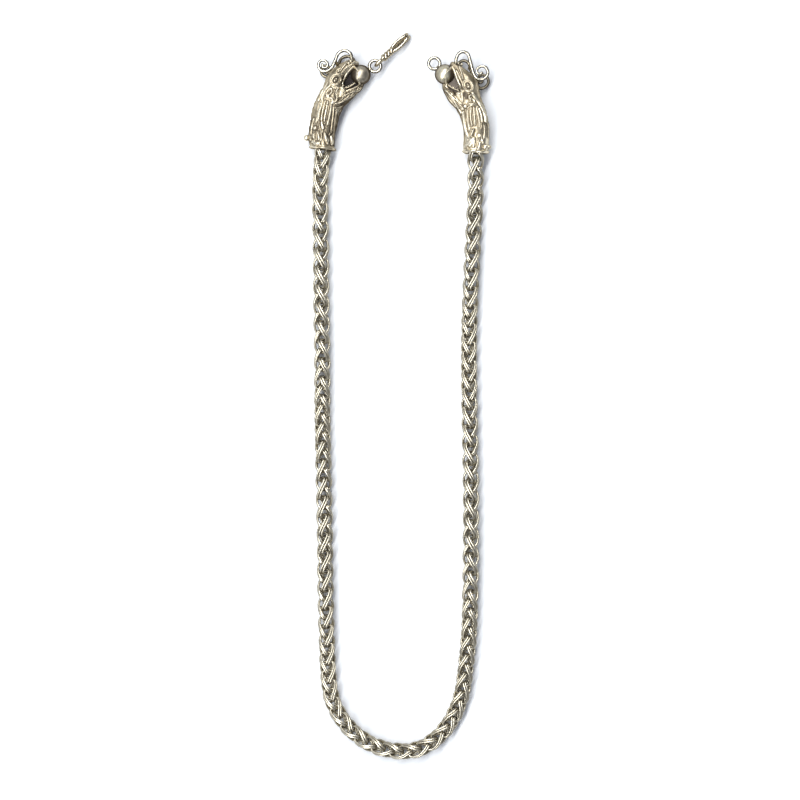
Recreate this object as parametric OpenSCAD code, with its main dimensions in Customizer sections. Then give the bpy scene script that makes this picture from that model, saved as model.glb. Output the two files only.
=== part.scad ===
// Silver necklace laid out in a long U: a woven wheat chain whose two ends are
// set in cast dragon heads, each with a ball in its jaws. The left ball holds a
// doubled wire hook on a ring, the right ball holds the catch ring.
// Millimetres. X to the right and Y up as laid out, Z up from the surface.

/* [Chain] */
// distance along the chain at which the weave repeats
pitch_goal = 6.15; // [5.5:0.05:7]
// wire that the links are bent from, two wires side by side in each link
wire_d = 0.78; // [0.5:0.01:1]
// distance from the axis of the chain to the wires of its sides
link_r = 2.33; // [1.8:0.01:3]
// half of the widest opening of a link, as a share of link_r
waist = 0.55; // [0.4:0.01:0.8]
// half of a link's length, as a share of the pitch
reach = 0.61; // [0.5:0.01:0.7]
// rings of facets round each link
link_rings = 10; // [10:1:16]

/* [Heads] */
// bore that takes the end of the chain
socket_d = 6.3; // [5.8:0.1:7]
// depth of that bore
socket_deep = 5.2; // [4:0.1:7]
// outside of the rolled rim at the foot of the neck
rim_d = 9.2; // [8:0.1:10]
// length of that rim
rim_w = 0.9; // [0.4:0.1:2]
// hidden cross pin through the last link
pin_d = 1.1; // [0.8:0.1:1.6]
// ball held in the jaws
ball_d = 6.8; // [5:0.1:8]
// height of the middle plane of the heads above the surface
head_z = 4.6; // [4:0.05:6]

/* [Wire work] */
// wire of the scrolls, rings and hook
scroll_d = 1.1; // [0.8:0.05:1.5]
// scrolls stand this far to each side of the middle plane
scroll_z = 2.5; // [1.5:0.1:4]
// radius of the ring on each ball, to the middle of its wire
ring_r = 1.9; // [1.5:0.05:3]
// radius of the eye of the hook, to the middle of its wire
eye_r = 1.45; // [1.2:0.05:2]
// length of the hook from the middle of its eye to its far bend
hook_len = 12.0; // [8:0.1:20]
// distance between the two strands of the hook, middle to middle
hook_gap = 1.6; // [1.3:0.1:3]
// radius of the far bend of the hook
hook_r = 1.4; // [1:0.05:2.5]

/* [Part] */
// sub-part to draw

/* [Hidden] */
$fn = 48;
// middle of the box round the whole necklace, before it is moved to the origin
mid_x = 0.15;
mid_y = 0.18;

// Centre line of the chain, from the left head down, round and up to the right.
// columns: x, y, height above the surface
ROUTE = [
    [-24.8, 87.0, 4.6], [-24.85, 82.6, 4.6], [-25.4, 76.0, 4.2], [-25.7, 69.0, 3.3],
    [-25.7, 61.0, 2.8], [-25.5, 50.0, 2.72], [-25.4, 34.0, 2.72], [-25.1, 14.0, 2.72],
    [-25.0, -6.0, 2.72], [-24.6, -26.0, 2.72], [-24.2, -46.0, 2.72], [-24.0, -64.0, 2.72],
    [-23.6, -80.0, 2.72], [-23.1, -92.0, 2.72], [-22.0, -101.0, 2.72], [-19.0, -107.6, 2.72],
    [-14.4, -113.0, 2.72], [-8.0, -117.2, 2.72], [0.0, -119.2, 2.72], [7.6, -118.4, 2.72],
    [14.2, -114.0, 2.72], [19.0, -107.3, 2.72], [21.8, -99.5, 2.72], [23.1, -90.5, 2.72],
    [24.2, -79.0, 2.72], [24.6, -65.0, 2.72], [24.8, -48.0, 2.72], [24.8, -30.0, 2.72],
    [24.5, -12.0, 2.72], [24.2, 6.0, 2.72], [24.2, 20.0, 2.72], [24.7, 36.0, 2.72],
    [25.5, 52.0, 2.72], [26.0, 61.0, 2.8], [26.3, 69.0, 3.3], [26.35, 75.5, 4.2],
    [26.3, 81.9, 4.6], [26.2, 86.3, 4.6]
];

// Turn of the weave about its own axis.
// columns: distance along the chain, degrees
TURN = [[0, -52], [178, 133], [270, 133], [308, 180], [395, 250], [440, 300]];

// Neck, skull and snout, then the lower jaw, seen from above.
// columns: x, y, heading in degrees, half width, half depth
LEFT_SKULL = [
    [-0.2, 0.5, 0, 4.2, 4.2], [-0.5, 4.7, 2, 4.4, 4.3], [0.25, 8.3, 7, 4.5, 4.3],
    [1.1, 12.75, 17, 4.65, 4.3], [2.95, 16.9, 27, 4.6, 4.25], [3.85, 20.2, 14, 3.8, 4.1],
    [4.15, 23.6, 15, 3.0, 3.8], [5.85, 26.0, 27, 2.65, 3.4], [8.1, 27.9, 42, 1.95, 2.8],
    [10.1, 29.0, 69, 1.3, 2.2], [11.55, 28.7, 100, 0.75, 1.4]
];
LEFT_JAW = [
    [5.15, 15.6, 45, 2.0, 3.6], [8.45, 18.4, 60, 1.95, 3.4], [10.65, 19.9, 64, 1.4, 2.9],
    [12.35, 20.9, 60, 1.0, 2.2], [13.15, 21.8, 45, 0.6, 1.4]
];
RIGHT_SKULL = [
    [0.0, 0.5, 0, 4.2, 4.2], [-0.3, 4.6, 0, 4.2, 4.25], [-0.1, 9.0, 4, 4.35, 4.3],
    [0.9, 13.0, 14, 4.4, 4.3], [2.4, 16.6, 25, 4.5, 4.25], [2.5, 19.6, 15, 3.9, 4.1],
    [2.3, 22.2, 14, 3.2, 3.8], [3.3, 24.6, 17, 2.9, 3.4], [5.2, 26.7, 26, 2.1, 2.8],
    [6.6, 28.5, 36, 1.5, 2.2], [8.0, 29.4, 60, 0.9, 1.5]
];
RIGHT_JAW = [
    [4.6, 15.0, 40, 1.8, 3.5], [7.6, 18.3, 52, 1.9, 3.3], [9.2, 20.0, 48, 1.3, 2.8],
    [10.1, 21.3, 30, 0.95, 2.2], [10.5, 22.6, 15, 0.6, 1.4]
];

// Mane strands on each face of the neck.
// columns: x and y of the upper end, x and y of the lower end
LEFT_MANE = [[-0.55, 16.8, -1.65, 10.0], [0.65, 16.6, -0.35, 9.8], [1.85, 16.0, 0.95, 9.4],
    [3.15, 15.2, 2.15, 8.4]];
RIGHT_MANE = [[-1.3, 14.6, -1.7, 9.2], [-0.1, 14.8, -0.5, 8.9], [1.1, 14.7, 0.8, 8.7],
    [3.2, 13.6, 2.2, 6.0]];

// Small raised balls on each face of the neck.
// columns: x, y, radius
LEFT_GRAINS = [[-2.65, 7.4, 0.7], [-0.25, 7.0, 0.6], [1.15, 4.2, 0.7], [-2.25, 2.6, 0.9]];
RIGHT_GRAINS = [[-3.3, 2.0, 1.0], [-1.3, 5.4, 0.65], [0.8, 5.0, 0.6], [2.4, 2.8, 0.9]];

// columns of the rows below: x and y of the foot of the neck, ball, eye,
// middle of the arch of the scroll, length of its straight, its large radius,
// shift of the lower scroll, ring on the ball, grain on the edge of the neck
LEFT = [[-24.85, 82.6], [12.7, 25.1], [4.25, 23.5], [7.45, 31.0], 3.6, 3.6, [0.8, -1.4], [17.5, 28.0],
    [-5.35, 4.0, 1.1]];
RIGHT = [[26.3, 81.9], [10.3, 26.0], [2.3, 22.1], [4.4, 30.8], 5.8, 2.4, [-0.3, -2.5], [13.8, 29.6],
    [-4.5, 1.6, 0.8]];
FOOT = 0;
BALL = 1;
EYE = 2;
ARCH = 3;
RUN = 4;
BIG = 5;
SHIFT = 6;
RING = 7;
EDGE = 8;

// chain route, sampled and measured along its length
function row(i) = i < 0 ? 2 * ROUTE[0] - ROUTE[1]
    : i >= len(ROUTE) ? 2 * ROUTE[len(ROUTE) - 1] - ROUTE[len(ROUTE) - 2] : ROUTE[i];
function blend(a, b, c, d, t) = 0.5 * (2 * b + (c - a) * t + (2 * a - 5 * b + 4 * c - d) * t * t
    + (3 * b - a - 3 * c + d) * t * t * t);
STEPS = 10;
LINE = concat([for (i = [0 : len(ROUTE) - 2], k = [0 : STEPS - 1])
    blend(row(i - 1), row(i), row(i + 1), row(i + 2), k / STEPS)], [ROUTE[len(ROUTE) - 1]]);
ALONG = [for (i = 0, s = 0; i < len(LINE);
    s = s + (i + 1 < len(LINE) ? norm(LINE[i + 1] - LINE[i]) : 0), i = i + 1) s];
TOTAL = ALONG[len(ALONG) - 1];
TX = [for (i = [0 : len(LINE) - 1]) [ALONG[i], LINE[i][0]]];
TY = [for (i = [0 : len(LINE) - 1]) [ALONG[i], LINE[i][1]]];
TZ = [for (i = [0 : len(LINE) - 1]) [ALONG[i], LINE[i][2]]];
function at(s) = [lookup(s, TX) - mid_x, lookup(s, TY) - mid_y, lookup(s, TZ)];
function unit(v) = v / norm(v);
function heading(s) = unit(at(min(s + 0.8, TOTAL)) - at(max(s - 0.8, 0)));

// links: odd ones are the mirror twist of even ones, half a pitch apart
LINKS = 2 * floor((TOTAL / pitch_goal - 2 * reach) + 1);
pitch = TOTAL / ((LINKS - 1) / 2 + 2 * reach);
half_len = reach * pitch;
open_w = waist * link_r;
// flattened outline of the two wires: across and outward
BAND = [[-0.92 * wire_d, 0], [-0.5 * wire_d, -0.45 * wire_d], [0.5 * wire_d, -0.45 * wire_d],
    [0.92 * wire_d, 0], [0, 0.48 * wire_d]];

function bow(t, odd) = let (x = -open_w * sin(2 * t), y = -link_r * sin(t), z = half_len * cos(t))
    odd == 1 ? [y, x, z] : [x, y, z];
function bow_dir(t, odd) = let (x = -2 * open_w * cos(2 * t), y = -link_r * cos(t),
    z = -half_len * sin(t)) unit(odd == 1 ? [y, x, z] : [x, y, z]);
// places a point of a link that sits at s, first its ring centre, then the offset
function set(s, c, o) = let (q = s + c[2], f = heading(q), a = lookup(q, TURN),
    l = unit(cross([0, 0, 1], f)), u = cross(f, l),
    ex = -l * cos(a) + u * sin(a), ey = -u * cos(a) - l * sin(a))
    at(q) + ex * (c[0] + o[0]) + ey * (c[1] + o[1]) + f * o[2];

module links(first, last) {
    n = len(BAND);
    points = [for (i = [first : last], r = [0 : link_rings - 1])
        let (t = 360 * r / link_rings, odd = i % 2, c = bow(t, odd), f = bow_dir(t, odd),
            out = unit(c - f * (c * f)), side = cross(f, out), s = half_len + i * pitch / 2)
        each [for (b = BAND) set(s, c, side * b[0] + out * b[1])]];
    faces = [for (i = [0 : last - first], r = [0 : link_rings - 1], k = [0 : n - 1])
        let (base = i * link_rings * n, a = base + r * n, b = base + ((r + 1) % link_rings) * n,
            j = (k + 1) % n)
        each [[a + k, a + j, b + j], [a + k, b + j, b + k]]];
    polyhedron(points, faces, convexity = 20);
}

// solid through rows of x, y, heading, half width and half depth
module loft(rows, n) {
    points = [for (r = rows, k = [0 : n - 1])
        let (q = 360 * k / n, c = cos(q) * r[3])
        [r[0] + cos(r[2]) * c, r[1] - sin(r[2]) * c, sin(q) * r[4]]];
    sides = [for (i = [0 : len(rows) - 2], k = [0 : n - 1])
        let (a = i * n, b = a + n, j = (k + 1) % n) each [[a + k, a + j, b + j], [a + k, b + j, b + k]]];
    caps = [[for (k = [n - 1 : -1 : 0]) k], [for (k = [0 : n - 1]) (len(rows) - 1) * n + k]];
    polyhedron(points, concat(sides, caps), convexity = 6);
}

// round bar between two points
module bar(p, q, d) {
    v = q - p;
    translate(p) rotate([0, acos(v[2] / norm(v)), atan2(v[1], v[0])]) cylinder(h = norm(v), d = d);
}

// bent wire in the plane of the heads: middle, radius, start angle, turn
module bend(c, r, from, turn, d) {
    translate([c[0], c[1], 0]) rotate([0, 0, turn < 0 ? from + turn : from])
        rotate_extrude(angle = abs(turn)) translate([r, 0]) circle(d = d);
}

// S scroll from its foot over the arch and down into the spiral, with a post
// into the skull under the end of its straight
module scroll(c, run, big) {
    foot = c + 2.1 * [cos(-25), sin(-25)];
    down = [-sin(160), cos(160)];
    a = c + 2.1 * [cos(160), sin(160)];
    b = a + run * down;
    mid = b + big * [down[1], -down[0]];
    low = mid + [0, -big];
    left = low + [-2.1, 2.1];
    right = left + [3.0, 0];
    bend(c, 2.1, -25, 185, scroll_d);
    bar([a[0], a[1], 0], [b[0], b[1], 0], scroll_d);
    bend(mid, big, -20, -70, scroll_d);
    bend(low + [0, 2.1], 2.1, -90, -90, scroll_d);
    bend(left + [1.5, 0], 1.5, 180, -180, scroll_d);
    bend(right - [0.85, 0], 0.85, 0, -200, scroll_d);
    bar([foot[0], foot[1], 0], [foot[0] - 0.3, foot[1] - 1.3, -1.6], scroll_d);
    bar([b[0], b[1], 0], [b[0] + 0.6, b[1] - 1.6, -1.8], scroll_d);
    // solder beads at the joints, each turned square to its wire
    for (j = [[foot, 65], [a, 70], [b, 70], [low, 0], [left, 90], [right, 90],
        [right - [0.85, 0] + 0.85 * [cos(160), sin(160)], 70]]) {
        translate([j[0][0], j[0][1], 0]) rotate([0, 0, j[1] + 90]) sphere(d = scroll_d + 0.2);
    }
}

module both_faces() {
    children();
    mirror([0, 0, 1]) children();
}

// height of the surface of the neck over a point of the middle plane
function neck_x(rows, y) = lookup(y, [for (r = rows) if (r[1] < 18) [r[1], r[0]]]);
function neck_top(rows, x, y) = let (d = (x - neck_x(rows, y)) / 4.6)
    4.25 * sqrt(max(0.04, 1 - d * d));

module dragon(k, skull, jaw, mane, grains) {
    difference() {
        union() {
            loft(skull, 16);
            loft(jaw, 12);
            // rolled rim at the foot of the neck
            rotate([-90, 0, 0]) cylinder(h = rim_w, d = rim_d);
            // floor of the open mouth
            translate([0, 0, -0.5]) linear_extrude(1) polygon([k[EYE] + [1.2, -2.0],
                k[EYE] + [3.2, -5.2], k[BALL] + [-0.5, -3.6], k[BALL] + [-1.8, 3.0]]);
            translate([k[BALL][0], k[BALL][1], 0]) sphere(d = ball_d);
            both_faces() {
                // eye and the ring about it
                translate([k[EYE][0], k[EYE][1], 3.3]) {
                    rotate_extrude() translate([1.55, 0]) circle(d = 0.8);
                    sphere(d = 1.9);
                }
                for (m = mane) {
                    bar([m[0], m[1], neck_top(skull, m[0], m[1]) - 0.06],
                        [m[2], m[3], neck_top(skull, m[2], m[3]) - 0.06], 0.8);
                }
                for (g = grains) {
                    translate([g[0], g[1], neck_top(skull, g[0], g[1]) - 0.5 * g[2]]) sphere(r = g[2]);
                }
            }
            // grain on the outer edge of the neck
            translate([k[EDGE][0], k[EDGE][1], 0]) rotate([0, 90, 0]) sphere(r = k[EDGE][2]);
            translate([0, 0, scroll_z]) scroll(k[ARCH], k[RUN], k[BIG]);
            translate([k[SHIFT][0], k[SHIFT][1], -scroll_z]) mirror([0, 0, 1])
                scroll(k[ARCH], k[RUN], k[BIG]);
            // ring soldered to the ball
            translate([k[RING][0], k[RING][1], 0]) rotate_extrude() translate([ring_r, 0])
                circle(d = scroll_d);
        }
        // socket for the end of the chain
        translate([0, -1, 0]) rotate([-90, 0, 0]) cylinder(h = socket_deep + 1, d = socket_d);
    }
}

module seat(k, turned) {
    translate([k[FOOT][0] - mid_x, k[FOOT][1] - mid_y, head_z]) mirror([turned, 0, 0]) children();
}

// hidden cross pin through the last link, square to the plane of its end
module pin(s, v) {
    a = lookup(s, TURN);
    f = heading(s);
    l = unit(cross([0, 0, 1], f));
    u = cross(f, l);
    d = unit((-l * cos(a) + u * sin(a)) * v[0] + (-u * cos(a) - l * sin(a)) * v[1]);
    bar(at(s) - 3.7 * d, at(s) + 3.7 * d, pin_d);
}

module left_head() {
    color([0.72, 0.67, 0.55]) union() {
        seat(LEFT, 0) dragon(LEFT, LEFT_SKULL, LEFT_JAW, LEFT_MANE, LEFT_GRAINS);
        pin(1.75, [0.78, 0.62]);
    }
}

module right_head() {
    color([0.72, 0.67, 0.55]) union() {
        seat(RIGHT, 1) dragon(RIGHT, RIGHT_SKULL, RIGHT_JAW, RIGHT_MANE, RIGHT_GRAINS);
        pin(TOTAL - 1.75, [0.62, -0.78]);
    }
}

module chain_left() {
    color([0.7, 0.7, 0.66]) links(0, LINKS / 2 - 1);
}

module chain_right() {
    color([0.7, 0.7, 0.66]) links(LINKS / 2, LINKS - 1);
}

// Hook of one doubled wire: an eye on the ring, a wrapped shank, two strands that
// run out, bend down and come back underneath, where a small bend joins them.
module hook_wire() {
    g = hook_gap / 2;
    back = -2 * hook_r;
    rotate([90, 0, 0]) rotate_extrude() translate([eye_r, 0]) circle(d = scroll_d);
    bar([eye_r, 0, 0], [6.4, 0, 0], 1.3);
    for (i = [0 : 4]) {
        translate([2.3 + i * 0.8, 0, 0]) rotate([0, 90, 0]) rotate_extrude()
            translate([0.6, 0]) circle(d = 0.95);
    }
    for (side = [-1, 1]) {
        bar([5.4, 0, 0], [7.4, side * g, 0], scroll_d);
        bar([7.4, side * g, 0], [hook_len, side * g, 0], scroll_d);
        translate([hook_len, side * g, -hook_r]) rotate([90, 0, 0]) rotate([0, 0, -90])
            rotate_extrude(angle = 180) translate([hook_r, 0]) circle(d = scroll_d);
        bar([hook_len, side * g, back], [7.6, side * g, back], scroll_d);
        for (j = [[7.4, 0], [hook_len, 0], [hook_len, back], [7.6, back]]) {
            translate([j[0], side * g, j[1]]) rotate([0, 0, 90]) sphere(d = scroll_d + 0.2);
        }
    }
    translate([7.6, 0, back]) rotate([0, 0, 90]) rotate_extrude(angle = 180)
        translate([g, 0]) circle(d = scroll_d);
}

module hook() {
    turn = 43.5;
    eye_z = head_z - 0.1;
    under = 2 * hook_r + scroll_d / 2 + 0.06;
    tilt = asin((eye_z - under) / (hook_len + 0.4));
    color([0.75, 0.74, 0.68])
        translate([LEFT[FOOT][0] + LEFT[RING][0] + ring_r * cos(turn) - mid_x,
            LEFT[FOOT][1] + LEFT[RING][1] + ring_r * sin(turn) - mid_y, eye_z])
        rotate([0, tilt, turn]) hook_wire();
}

chain_left();
chain_right();
left_head();
right_head();
hook();
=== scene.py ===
# Wheat chain necklace with two dragon heads, laid out in a long U.
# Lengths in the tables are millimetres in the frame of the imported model.
import math

import bmesh
import bpy
import numpy as np
from bpy.props import FloatProperty, FloatVectorProperty, IntProperty, PointerProperty
from mathutils import Matrix, Vector, noise


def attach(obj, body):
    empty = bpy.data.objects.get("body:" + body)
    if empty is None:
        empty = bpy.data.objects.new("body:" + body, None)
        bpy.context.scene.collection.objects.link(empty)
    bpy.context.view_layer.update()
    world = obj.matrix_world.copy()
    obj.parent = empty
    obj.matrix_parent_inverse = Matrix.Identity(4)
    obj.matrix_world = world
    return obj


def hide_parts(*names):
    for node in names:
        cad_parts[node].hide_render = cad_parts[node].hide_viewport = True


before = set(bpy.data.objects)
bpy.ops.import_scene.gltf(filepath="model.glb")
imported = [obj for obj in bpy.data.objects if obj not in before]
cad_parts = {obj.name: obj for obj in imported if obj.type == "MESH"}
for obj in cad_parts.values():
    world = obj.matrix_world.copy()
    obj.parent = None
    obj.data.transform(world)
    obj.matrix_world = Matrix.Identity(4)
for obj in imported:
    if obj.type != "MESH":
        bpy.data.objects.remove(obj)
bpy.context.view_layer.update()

bl_info = {
    "name": "Dragon head chain necklace",
    "version": (1, 0, 0),
    "blender": (4, 5, 0),
    "location": "View3D > Sidebar > Necklace",
    "description": "Dresses the wheat chain, the two cast heads, their wire work and the hook",
    "category": "Object",
}

MM = 0.001
# middle of the necklace's box, and the height of the middle plane of the heads
MID_X = 0.15
MID_Y = 0.18
HEAD_Z = 4.6

# centre line of the chain, from the left head down, round and up to the right
ROUTE = (
    (-24.8, 87.0, 4.6), (-24.85, 82.6, 4.6), (-25.4, 76.0, 4.2), (-25.7, 69.0, 3.3), (-25.7, 61.0, 2.8),
    (-25.5, 50.0, 2.72), (-25.4, 34.0, 2.72), (-25.1, 14.0, 2.72), (-25.0, -6.0, 2.72),
    (-24.6, -26.0, 2.72), (-24.2, -46.0, 2.72), (-24.0, -64.0, 2.72), (-23.6, -80.0, 2.72),
    (-23.1, -92.0, 2.72), (-22.0, -101.0, 2.72), (-19.0, -107.6, 2.72), (-14.4, -113.0, 2.72),
    (-8.0, -117.2, 2.72), (0.0, -119.2, 2.72), (7.6, -118.4, 2.72), (14.2, -114.0, 2.72),
    (19.0, -107.3, 2.72), (21.8, -99.5, 2.72), (23.1, -90.5, 2.72), (24.2, -79.0, 2.72),
    (24.6, -65.0, 2.72), (24.8, -48.0, 2.72), (24.8, -30.0, 2.72), (24.5, -12.0, 2.72), (24.2, 6.0, 2.72),
    (24.2, 20.0, 2.72), (24.7, 36.0, 2.72), (25.5, 52.0, 2.72), (26.0, 61.0, 2.8), (26.3, 69.0, 3.3),
    (26.35, 75.5, 4.2), (26.3, 81.9, 4.6), (26.2, 86.3, 4.6),
)
# turn of the weave about its axis: distance along the chain, degrees
TURN = ((0, -52), (178, 133), (270, 133), (308, 180), (395, 250), (440, 300))
# distance at which the weave repeats, and half a link's length as a share of it
PITCH_GOAL = 6.15
REACH = 0.61
# the smooth links are a little fuller than the faceted ones: how far the line is lifted, and the
# bottom of the U is drawn up, to keep them on the floor and inside the box
CHAIN_LIFT = 0.238
CHAIN_DRAW = 0.00262
# step to either side over which the heading of the chain is taken
HEADING_STEP = 0.8
# radius of the wire of the plain ring that a link is bent from, and how square its end loops are
RING_WIRE = 0.25
LOOP_POWER = 0.42

# angles at which the end of a wire, and the tip of a cast body, are rounded off
CAP_TURNS = (0.5, 1.0, 1.4)
TIP_TURNS = (0.4, 0.8, 1.15, 1.4)
# radius and depth of the bore in the neck, and its chamfer
BORE = (3.15, 5.2)
CHAMFER = 0.15
# how far the bodies and the ornament may stand from the middle plane
BODY_TOP = 4.58
ORNAMENT_TOP = 4.59
# the groove beside a ridge: place in half widths of the ridge, width, depth, depth per height
GROOVE = (1.25, 0.2, 0.15, 0.28)
# the scales along the back: pitch, height, sink; flutes round the throat and the jaw: count, height
SCALES = (2.1, 0.26, 0.16)
FLUTES = {"skull": (9.0, 0.13), "jaw": (8.0, 0.1)}
# how far the camera shows a point of the upper face from its place, in the plane of the head
SEEN = (-0.1, 0.4)
# height of the scrolls above the middle plane
SCROLL_Z = 2.5

# neck, skull and snout, then the lower jaw: x, y, heading, half width, half depth
LEFT_SKULL = (
    (-0.2, 0.5, 0, 4.2, 4.2), (-0.5, 4.7, 2, 4.4, 4.3), (0.25, 8.3, 7, 4.5, 4.3),
    (1.1, 12.75, 17, 4.65, 4.3), (2.95, 16.9, 27, 4.6, 4.25), (3.85, 20.2, 14, 3.8, 4.1),
    (4.15, 23.6, 15, 3.0, 3.8), (5.85, 26.0, 27, 2.65, 3.4), (8.1, 27.9, 42, 1.95, 2.8),
    (10.1, 29.0, 69, 1.3, 2.2), (11.55, 28.7, 100, 0.75, 1.4),
)
LEFT_JAW = (
    (5.15, 15.6, 45, 2.0, 3.6), (8.45, 18.4, 60, 1.95, 3.4), (10.65, 19.9, 64, 1.4, 2.9),
    (12.35, 20.9, 60, 1.0, 2.2), (13.15, 21.8, 45, 0.6, 1.4),
)
RIGHT_SKULL = (
    (0.0, 0.5, 0, 4.2, 4.2), (-0.3, 4.6, 0, 4.2, 4.25), (-0.1, 9.0, 4, 4.35, 4.3),
    (0.9, 13.0, 14, 4.4, 4.3), (2.4, 16.6, 25, 4.5, 4.25), (2.5, 19.6, 15, 3.9, 4.1),
    (2.3, 22.2, 14, 3.2, 3.8), (3.3, 24.6, 17, 2.9, 3.4), (5.2, 26.7, 26, 2.1, 2.8),
    (6.6, 28.5, 36, 1.5, 2.2), (8.0, 29.4, 60, 0.9, 1.5),
)
RIGHT_JAW = (
    (4.6, 15.0, 40, 1.8, 3.5), (7.6, 18.3, 52, 1.9, 3.3), (9.2, 20.0, 48, 1.3, 2.8),
    (10.1, 21.3, 30, 0.95, 2.2), (10.5, 22.6, 15, 0.6, 1.4),
)

# chased ridges on each face of the heads, in the plane of the head:
# half width at the start and at the end, height, then x and y of each point of the ridge
LEFT_STROKES = (
    (0.3, 0.33, 0.42, 0.03, 16.88, -0.49, 14.59, -1.19, 12.46, -1.55, 9.87),
    (0.3, 0.33, 0.42, 0.82, 16.48, 0.33, 14.29, -0.18, 12.16, -0.4, 10.03),
    (0.3, 0.33, 0.42, 1.67, 16.18, 1.25, 13.99, 0.73, 11.55, 0.52, 9.72),
    (0.32, 0.3, 0.42, 2.86, 15.81, 2.65, 13.68, 2.16, 11.24, 1.49, 8.5),
    (0.2, 0.22, 0.24, -0.76, 15.81, -1.25, 13.68, -1.98, 10.94, -2.22, 9.42),
    (0.24, 0.22, 0.22, 3.68, 14.29, 3.47, 11.55, 3.01, 8.2, 2.71, 5.76),
    (0.22, 0.2, 0.2, 4.54, 12.77, 4.08, 10.03, 3.68, 6.98, 3.56, 3.94),
    (0.2, 0.18, 0.18, 5.3, 12.46, 4.6, 9.42, 4.29, 6.37, 4.23, 3.63),
    (0.3, 0.3, 0.52, 3.05, 19.6, 2.87, 20.6, 1.85, 19.9, 1.25, 18.87, 1.47, 18.2, 2.5, 17.46, 3.34, 16.6,
        3.43, 15.6),
    (0.24, 0.22, 0.42, 3.05, 19.6, 2.6, 18.8, 1.85, 18.35),
    (0.26, 0.24, 0.36, 3.68, 15.81, 4.38, 16.42, 4.6, 17.09),
    (0.3, 0.26, 0.3, 2.34, 21.66, 1.19, 20.44, 0.12, 18.8, -0.58, 17.18),
    (0.2, 0.2, 0.2, 1.49, 22.51, 0.33, 20.69, -0.79, 18.55, -1.55, 16.57),
    (0.26, 0.26, 0.3, 9.78, 28.85, 8.5, 27.14, 7.22, 25.5, 6.21, 23.73, 6.0, 21.9),
    (0.28, 0.24, 0.28, 8.19, 29.52, 6.67, 27.69, 5.76, 26.32),
    (0.22, 0.22, 0.24, 5.6, 20.99, 4.6, 19.89, 4.42, 18.55, 4.9, 16.88),
    (0.2, 0.2, 0.22, 7.34, 20.38, 7.58, 19.32, 6.67, 17.49, 5.51, 16.36),
    (0.22, 0.2, 0.24, 2.86, 21.45, 3.68, 20.69, 4.54, 20.75),
    (0.3, 0.26, 0.42, -3.14, 5.52, -2.89, 4.0),
    (0.26, 0.44, 0.52, -1.6, 6.0, -1.4, 4.8, -1.15, 3.4),
    (0.18, 0.24, 0.26, -0.7, 6.37, -0.43, 4.85, -0.58, 3.08),
    (0.32, 0.66, 0.62, 0.6, 5.6, 0.85, 4.39, 1.45, 3.33),
    (0.22, 0.4, 0.44, 2.61, 4.68, 2.97, 3.48, 3.04, 2.35),
    (0.18, 0.16, 0.22, 3.08, 6.83, 2.04, 5.0),
    (0.18, 0.16, 0.22, 3.68, 6.07, 2.86, 4.85),
    (0.34, 0.5, 0.56, -0.34, 9.3, -0.2, 8.4, 0.1, 7.45),
    (0.52, 0.62, 0.58, -3.34, 2.67, -2.41, 2.26, -1.35, 2.0),
    (0.2, 0.16, 0.2, -3.02, 10.64, -3.69, 8.2, -4.11, 5.15),
    (0.16, 0.16, 0.18, -1.4, 9.42, -1.1, 7.74, -1.4, 6.68),
    (0.24, 0.22, 0.26, 4.48, 15.51, 6.06, 16.06, 8.19, 17.34, 10.63, 18.86),
    (0.22, 0.2, 0.22, 4.17, 14.14, 5.45, 14.44, 7.58, 15.51, 9.41, 17.03),
    (0.2, 0.18, 0.2, 5.3, 12.92, 6.97, 14.23, 8.8, 15.81),
    (0.16, 0.16, 0.22, 4.38, 13.38, 4.69, 13.68, 4.99, 13.38, 4.69, 13.01, 4.38, 13.32),
)
LEFT_JAW_STROKES = (
    (0.26, 0.22, 0.32, 7.58, 19.89, 9.41, 20.47, 11.24, 21.23, 12.3, 22.27),
    (0.2, 0.2, 0.24, 6.97, 18.19, 9.41, 19.25, 11.85, 20.2, 12.88, 21.14),
    (0.2, 0.2, 0.22, 6.67, 16.67, 8.8, 17.88, 11.24, 18.98, 12.94, 20.08),
    (0.16, 0.16, 0.18, 8.19, 18.92, 8.56, 19.71),
    (0.16, 0.16, 0.18, 9.04, 19.25, 9.41, 20.02),
    (0.16, 0.16, 0.18, 9.9, 19.59, 10.26, 20.38),
    (0.16, 0.16, 0.18, 10.75, 19.89, 11.12, 20.69),
    (0.16, 0.16, 0.18, 11.6, 20.23, 11.97, 21.11),
    (0.16, 0.16, 0.18, 8.19, 17.7, 8.95, 18.55),
    (0.16, 0.16, 0.18, 9.41, 18.31, 10.17, 19.1),
    (0.16, 0.16, 0.18, 10.63, 18.86, 11.3, 19.59),
)
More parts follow.
